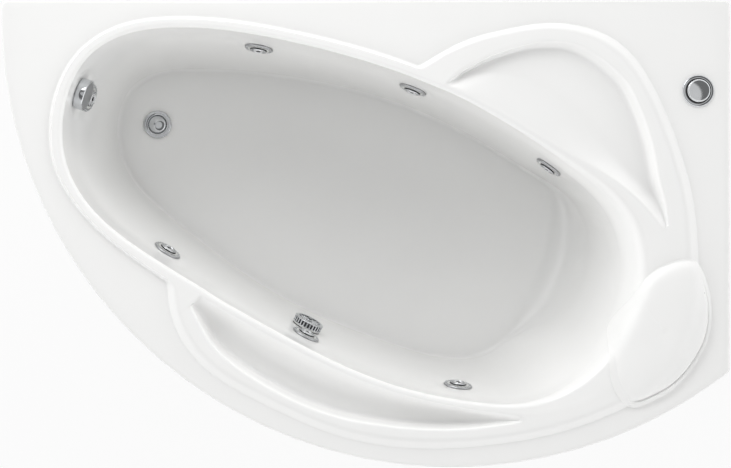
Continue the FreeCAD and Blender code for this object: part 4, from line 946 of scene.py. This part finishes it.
class BATH_OT_suction(bpy.types.Operator):
    """Suction fitting: chrome flange, a neck coloured black as painted shade in the gaps, and a ribbed
    cup with a slotted face
    """
    bl_idname = "bath.suction"
    bl_label = "Suction fitting"

    def execute(self, context):
        sizes = context.scene.bath_fittings
        place = facing(SUCTION_SPOT, SUCTION_AXIS)
        flange = hoop([(21.5, 0.3), (28.6, 0.3), (28.6, 2.6), (27.0, 4.4), (23.4, 5.0), (21.5, 4.6)],
                      0.7)
        neck = hoop([
            (18.0, 0.6), (21.2, 0.6), (21.2, 6.2), (31.8, 6.2), (31.8, 16.4), (7.5, 16.8),
            (7.5, 14.0), (18.0, 13.5)
        ], 0.4)
        back = hoop([(30.4, 5.2), (35.4, 5.2), (36.0, 5.8), (36.0, 6.6), (35.4, 7.0), (30.4, 7.0)], 0.3)
        brim = hoop([
            (27.6, 17.2), (34.6, 17.2), (36.0, 17.8), (36.0, 18.8), (34.2, 20.6), (30.2, 21.4),
            (27.6, 20.4)
        ], 0.5)
        hub = hoop([(3.2, 15.9), (9.5, 15.9), (9.5, 20.4), (7.5, 21.6), (4.2, 21.8), (3.2, 20.8)], 0.6)
        strip = hoop([(18.2, 16.4), (20.8, 16.4), (20.8, 19.8), (18.2, 19.8)], 0.5)
        obj = turned("suction_flange_chrome", flange, place, CHROME)
        # Painted shade: the neck is coloured black where the gap behind the flange and the gaps between
        # the ribs lie in shade.
        core = turned("suction_neck_painted_shade", neck, place, BLACK_NYLON_AND_SHADE, "bath", 72)
        low = turned("suction_hoop_back", back, place, CHROME)
        high = turned("suction_brim_front", brim, place, CHROME)
        middle = turned("suction_hub_front", hub, place, CHROME, "bath", 64)
        ribs = sizes.suction_slots
        side = rib_ring("suction_ribs_side", place, CHROME, "bath", ribs, 33.9, 12.1,
                        (3.2, 3.6, 11.2), 0.8)
        face = rib_ring("suction_ribs_face", place, CHROME, "bath", ribs // 2, 19.0, 18.6,
                        (19.5, 3.0, 3.0), 0.7)
        band = turned("suction_band_face", strip, place, CHROME, "bath", 72)
        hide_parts("suction_cover")
        return {"FINISHED"}


class BATH_OT_overflow(bpy.types.Operator):
    """Overflow knob on the end wall, with its polished side and satin face"""
    bl_idname = "bath.overflow"
    bl_label = "Overflow"

    def execute(self, context):
        place = joint_place("overflow_knob_turn")
        profile = rounded([
            (0, -43.5), (12, -43.5), (12, -39.5), (5, -39.5), (5, 20.5), (33.4, 20.5), (33.4, 3.4),
            (36, 3.4), (36, 21.4), (34.4, 23.2), (31.5, 23.2), (30.8, 22.7), (0, 22.7)
        ], 0.7)
        obj = turned("overflow_knob_turned", profile, place, CHROME, "overflow_knob", 128)
        paint(obj, place, SATIN, lambda r, z: z > 22.2 and r < 31.2)
        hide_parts("overflow_knob")
        return {"FINISHED"}


class BATH_OT_waste(bpy.types.Operator):
    """Waste flange and domed pop-up plug on the floor of the basin"""
    bl_idname = "bath.waste"
    bl_label = "Waste"

    def execute(self, context):
        spot = box_centre("waste_flange")
        place = Matrix.Translation((spot.x, spot.y, BASIN_BOTTOM))
        flange = rounded([
            (26.8, -36), (26.8, 2), (35, 2), (35, 3.4), (33, 4.8), (28, 4.9), (24, 3.4),
            (22.0, 0.8), (22.0, -36)
        ], 1.0)
        obj = turned("waste_flange_chrome", flange, place, CHROME)
        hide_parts("waste_flange")
        dome = [(0, -52), (3, -52), (3, -5), (21.4, -2.2), (21.5, 2.4)]
        dome += [(21.5 * cos(a), 2.4 + 6.6 * sin(a))
                 for a in np.linspace(0.12, pi / 2, 12)]
        dome[-1] = (0, 9.0)
        obj = turned("waste_plug_dome", dome, place, CHROME, "waste_plug")
        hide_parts("waste_plug")
        return {"FINISHED"}


class BATH_OT_button(bpy.types.Operator):
    """Air button on the deck: chrome ring, black seal and pale domed push"""
    bl_idname = "bath.button"
    bl_label = "Air button"

    def execute(self, context):
        spot = box_centre("button_housing")
        place = Matrix.Translation((spot.x, spot.y, DECK_TOP))
        ring = rounded([
            (0, -46), (27.8, -46), (27.8, 0), (35, 0), (35, 2.2), (33.4, 3.8), (29.5, 4.2),
            (26.6, 4.0), (25.05, 2.4), (25.05, -42), (0, -42)
        ], 0.8)
        obj = turned("button_ring_chrome", ring, place, CHROME)
        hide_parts("button_housing")
        seal = rounded([(25.1, 3.2), (27.8, 3.2), (27.8, 5.2), (25.1, 5.4), (25.1, 3.2)], 0.4)
        obj = turned("button_seal_black", seal, place, RUBBER)
        pleats = [(19.5 if k % 2 else 17.2, -41.6 + 2.4 * k) for k in range(17)]
        tube = [(13, -41.6)] + pleats + [(13, -3.2), (13, -41.6)]
        bellows = turned("button_bellows_rubber", tube, place, RUBBER, "bath", 64)
        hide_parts("button_bellows")
        push = [(0, -6), (9, -6), (9, 3), (22, 3), (22, -14), (25, -14), (25, 6.6)]
        push += [(23.4 + 1.6 * cos(a), 6.6 + 1.8 * sin(a)) for a in np.linspace(0.2, 1.5, 5)]
        push += [(r, 10.6 + 1.3 * (1 - (r / 22.6) ** 2)) for r in np.linspace(22.0, 0, 12)]
        obj = turned("button_push_satin", push, place, PUSH_SKIN, "air_button")
        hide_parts("air_button")
        return {"FINISHED"}


class BATH_OT_apron(bpy.types.Operator):
    """Curved front apron with its turned foot"""
    bl_idname = "bath.apron"
    bl_label = "Apron"

    def execute(self, context):
        low, high = 8.0, 584.0
        left_end_y, right_end_x = 465.2, 788
        outer, inner = FRONT_RADIUS - 12, FRONT_RADIUS - 17
        foot = 18
        seam = high - 20  # where the section starts and ends, in the middle of a straight face
        first = pi + asin((FRONT_CENTRE[1] - left_end_y) / outer)
        last = 2 * pi - acos((right_end_x - FRONT_CENTRE[0]) / outer)
        section = rounded([(outer, seam), (outer, high), (inner, high), (inner, low + 5),
                           (outer - foot, low + 5), (outer - foot, low), (outer, low),
                           (outer, seam)], 2.0, 4)[:-1]
        verts, faces = [], []
        steps = 260
        for k in range(steps + 1):
            turn = first + (last - first) * k / steps
            verts += [(FRONT_CENTRE[0] + r * cos(turn), FRONT_CENTRE[1] + r * sin(turn), z)
                      for r, z in section]
        n = len(section)
        for k in range(steps):
            here, there = k * n, (k + 1) * n
            faces += [(here + j, here + (j + 1) % n, there + (j + 1) % n, there + j) for j in range(n)]
        faces.append(tuple(range(n)))
        faces.append(tuple(steps * n + j for j in range(n))[::-1])
        obj = piece("curved_apron", verts, faces, apron_acrylic())
        outward(obj.data)
        obj.data.set_sharp_from_angle(angle=radians(35))
        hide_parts("front_apron")
        return {"FINISHED"}


class BATH_OT_finishes(bpy.types.Operator):
    """Materials, also for the nodes that keep their CAD shape, such as frame, pump and pipes"""
    bl_idname = "bath.finishes"
    bl_label = "Finishes"

    def execute(self, context):
        chrome, satin, zinc = chrome_plate(), turned_metal(), zinc_plate()
        white_pipe = moulded_plastic("white_pvc_pipe", "E4E5E3", "DADBD9", 0.34)
        # Black plastic of the real black parts, also used as painted shade in the jets and on the
        # suction neck.
        black_part = moulded_plastic(BLACK_NYLON_AND_SHADE, "26272A", "1D1E20", 0.46)
        rubber = moulded_plastic(RUBBER, "1E1E1F", "161617", 0.62)
        hose = moulded_plastic("pale_hose_vinyl", "D2D5D6", "C7CACB", 0.36)
        moulded_plastic(BALL_SKIN, "E4E5E7", "DADBDD", 0.20, 0.7)
        moulded_plastic(PUSH_SKIN, "E6E8EA", "DCDEE0", 0.06, 1.0)
        groups = (
            (glass_fibre_board(), ("base_board",)),
            (zinc, ("frame_tubes", "lock_nuts", "wall_clips", "apron_clips", "clip_screws",
                    "headrest_studs", "pump_bracket", "foot_", "rim_leg_")),
            (black_part, ("leg_bushes", "pop_up_cable", "air_tube", "fan_cover", "terminal_box",
                          "pump_volute")),
            (rubber, ("fitting_gaskets", "button_bellows")),
            (white_pipe, ("jet_bodies", "fitting_nuts", "suction_body", "water_manifold",
                          "air_manifold", "overflow_body", "overflow_pipe", "waste_body", "trap")),
            (hose, ("suction_hose",)),
            (satin, ("overflow_trim", "pump_rotor")),
            (chrome, ("suction_cover", "suction_screw")),
            (motor_enamel(), ("motor_housing",)),
        )
        for material, names in groups:
            for name, obj in frame["nodes"].items():
                if name.startswith(names):
                    obj.data.materials.clear()
                    obj.data.materials.append(bpy.data.materials[material])
        return {"FINISHED"}


STEPS = ("stage", "finishes", "shell", "headrest", "jets", "suction", "overflow", "waste", "button",
         "apron")


class BATH_PT_panel(bpy.types.Panel):
    """Buttons that build the bath's pieces, and their sizes"""
    bl_idname = "BATH_PT_panel"
    bl_label = "Corner jetted bath"
    bl_space_type = "VIEW_3D"
    bl_region_type = "UI"
    bl_category = "Bath"

    def draw(self, context):
        for step in STEPS:
            self.layout.operator("bath." + step)
        for group in GROUPS:
            sizes = getattr(context.scene, group)
            for name in sizes.bl_rna.properties.keys():
                if name not in ("rna_type", "name"):
                    self.layout.prop(sizes, name)


CLASSES = (ShellSizes, HeadrestSizes, FittingSizes, StageSizes, BATH_OT_stage, BATH_OT_shell,
           BATH_OT_headrest, BATH_OT_jets, BATH_OT_suction, BATH_OT_overflow, BATH_OT_waste,
           BATH_OT_button, BATH_OT_apron, BATH_OT_finishes, BATH_PT_panel)
GROUPS = {"bath_shell": ShellSizes, "bath_headrest": HeadrestSizes, "bath_fittings": FittingSizes,
          "bath_stage": StageSizes}


def register():
    for made in CLASSES:
        bpy.utils.register_class(made)
    for name, group in GROUPS.items():
        setattr(bpy.types.Scene, name, bpy.props.PointerProperty(type=group))


def unregister():
    for name in GROUPS:
        delattr(bpy.types.Scene, name)
    for made in reversed(CLASSES):
        bpy.utils.unregister_class(made)


def main():
    register()
    for step in STEPS:
        getattr(bpy.ops.bath, step)()


if __name__ == "__main__":
    main()
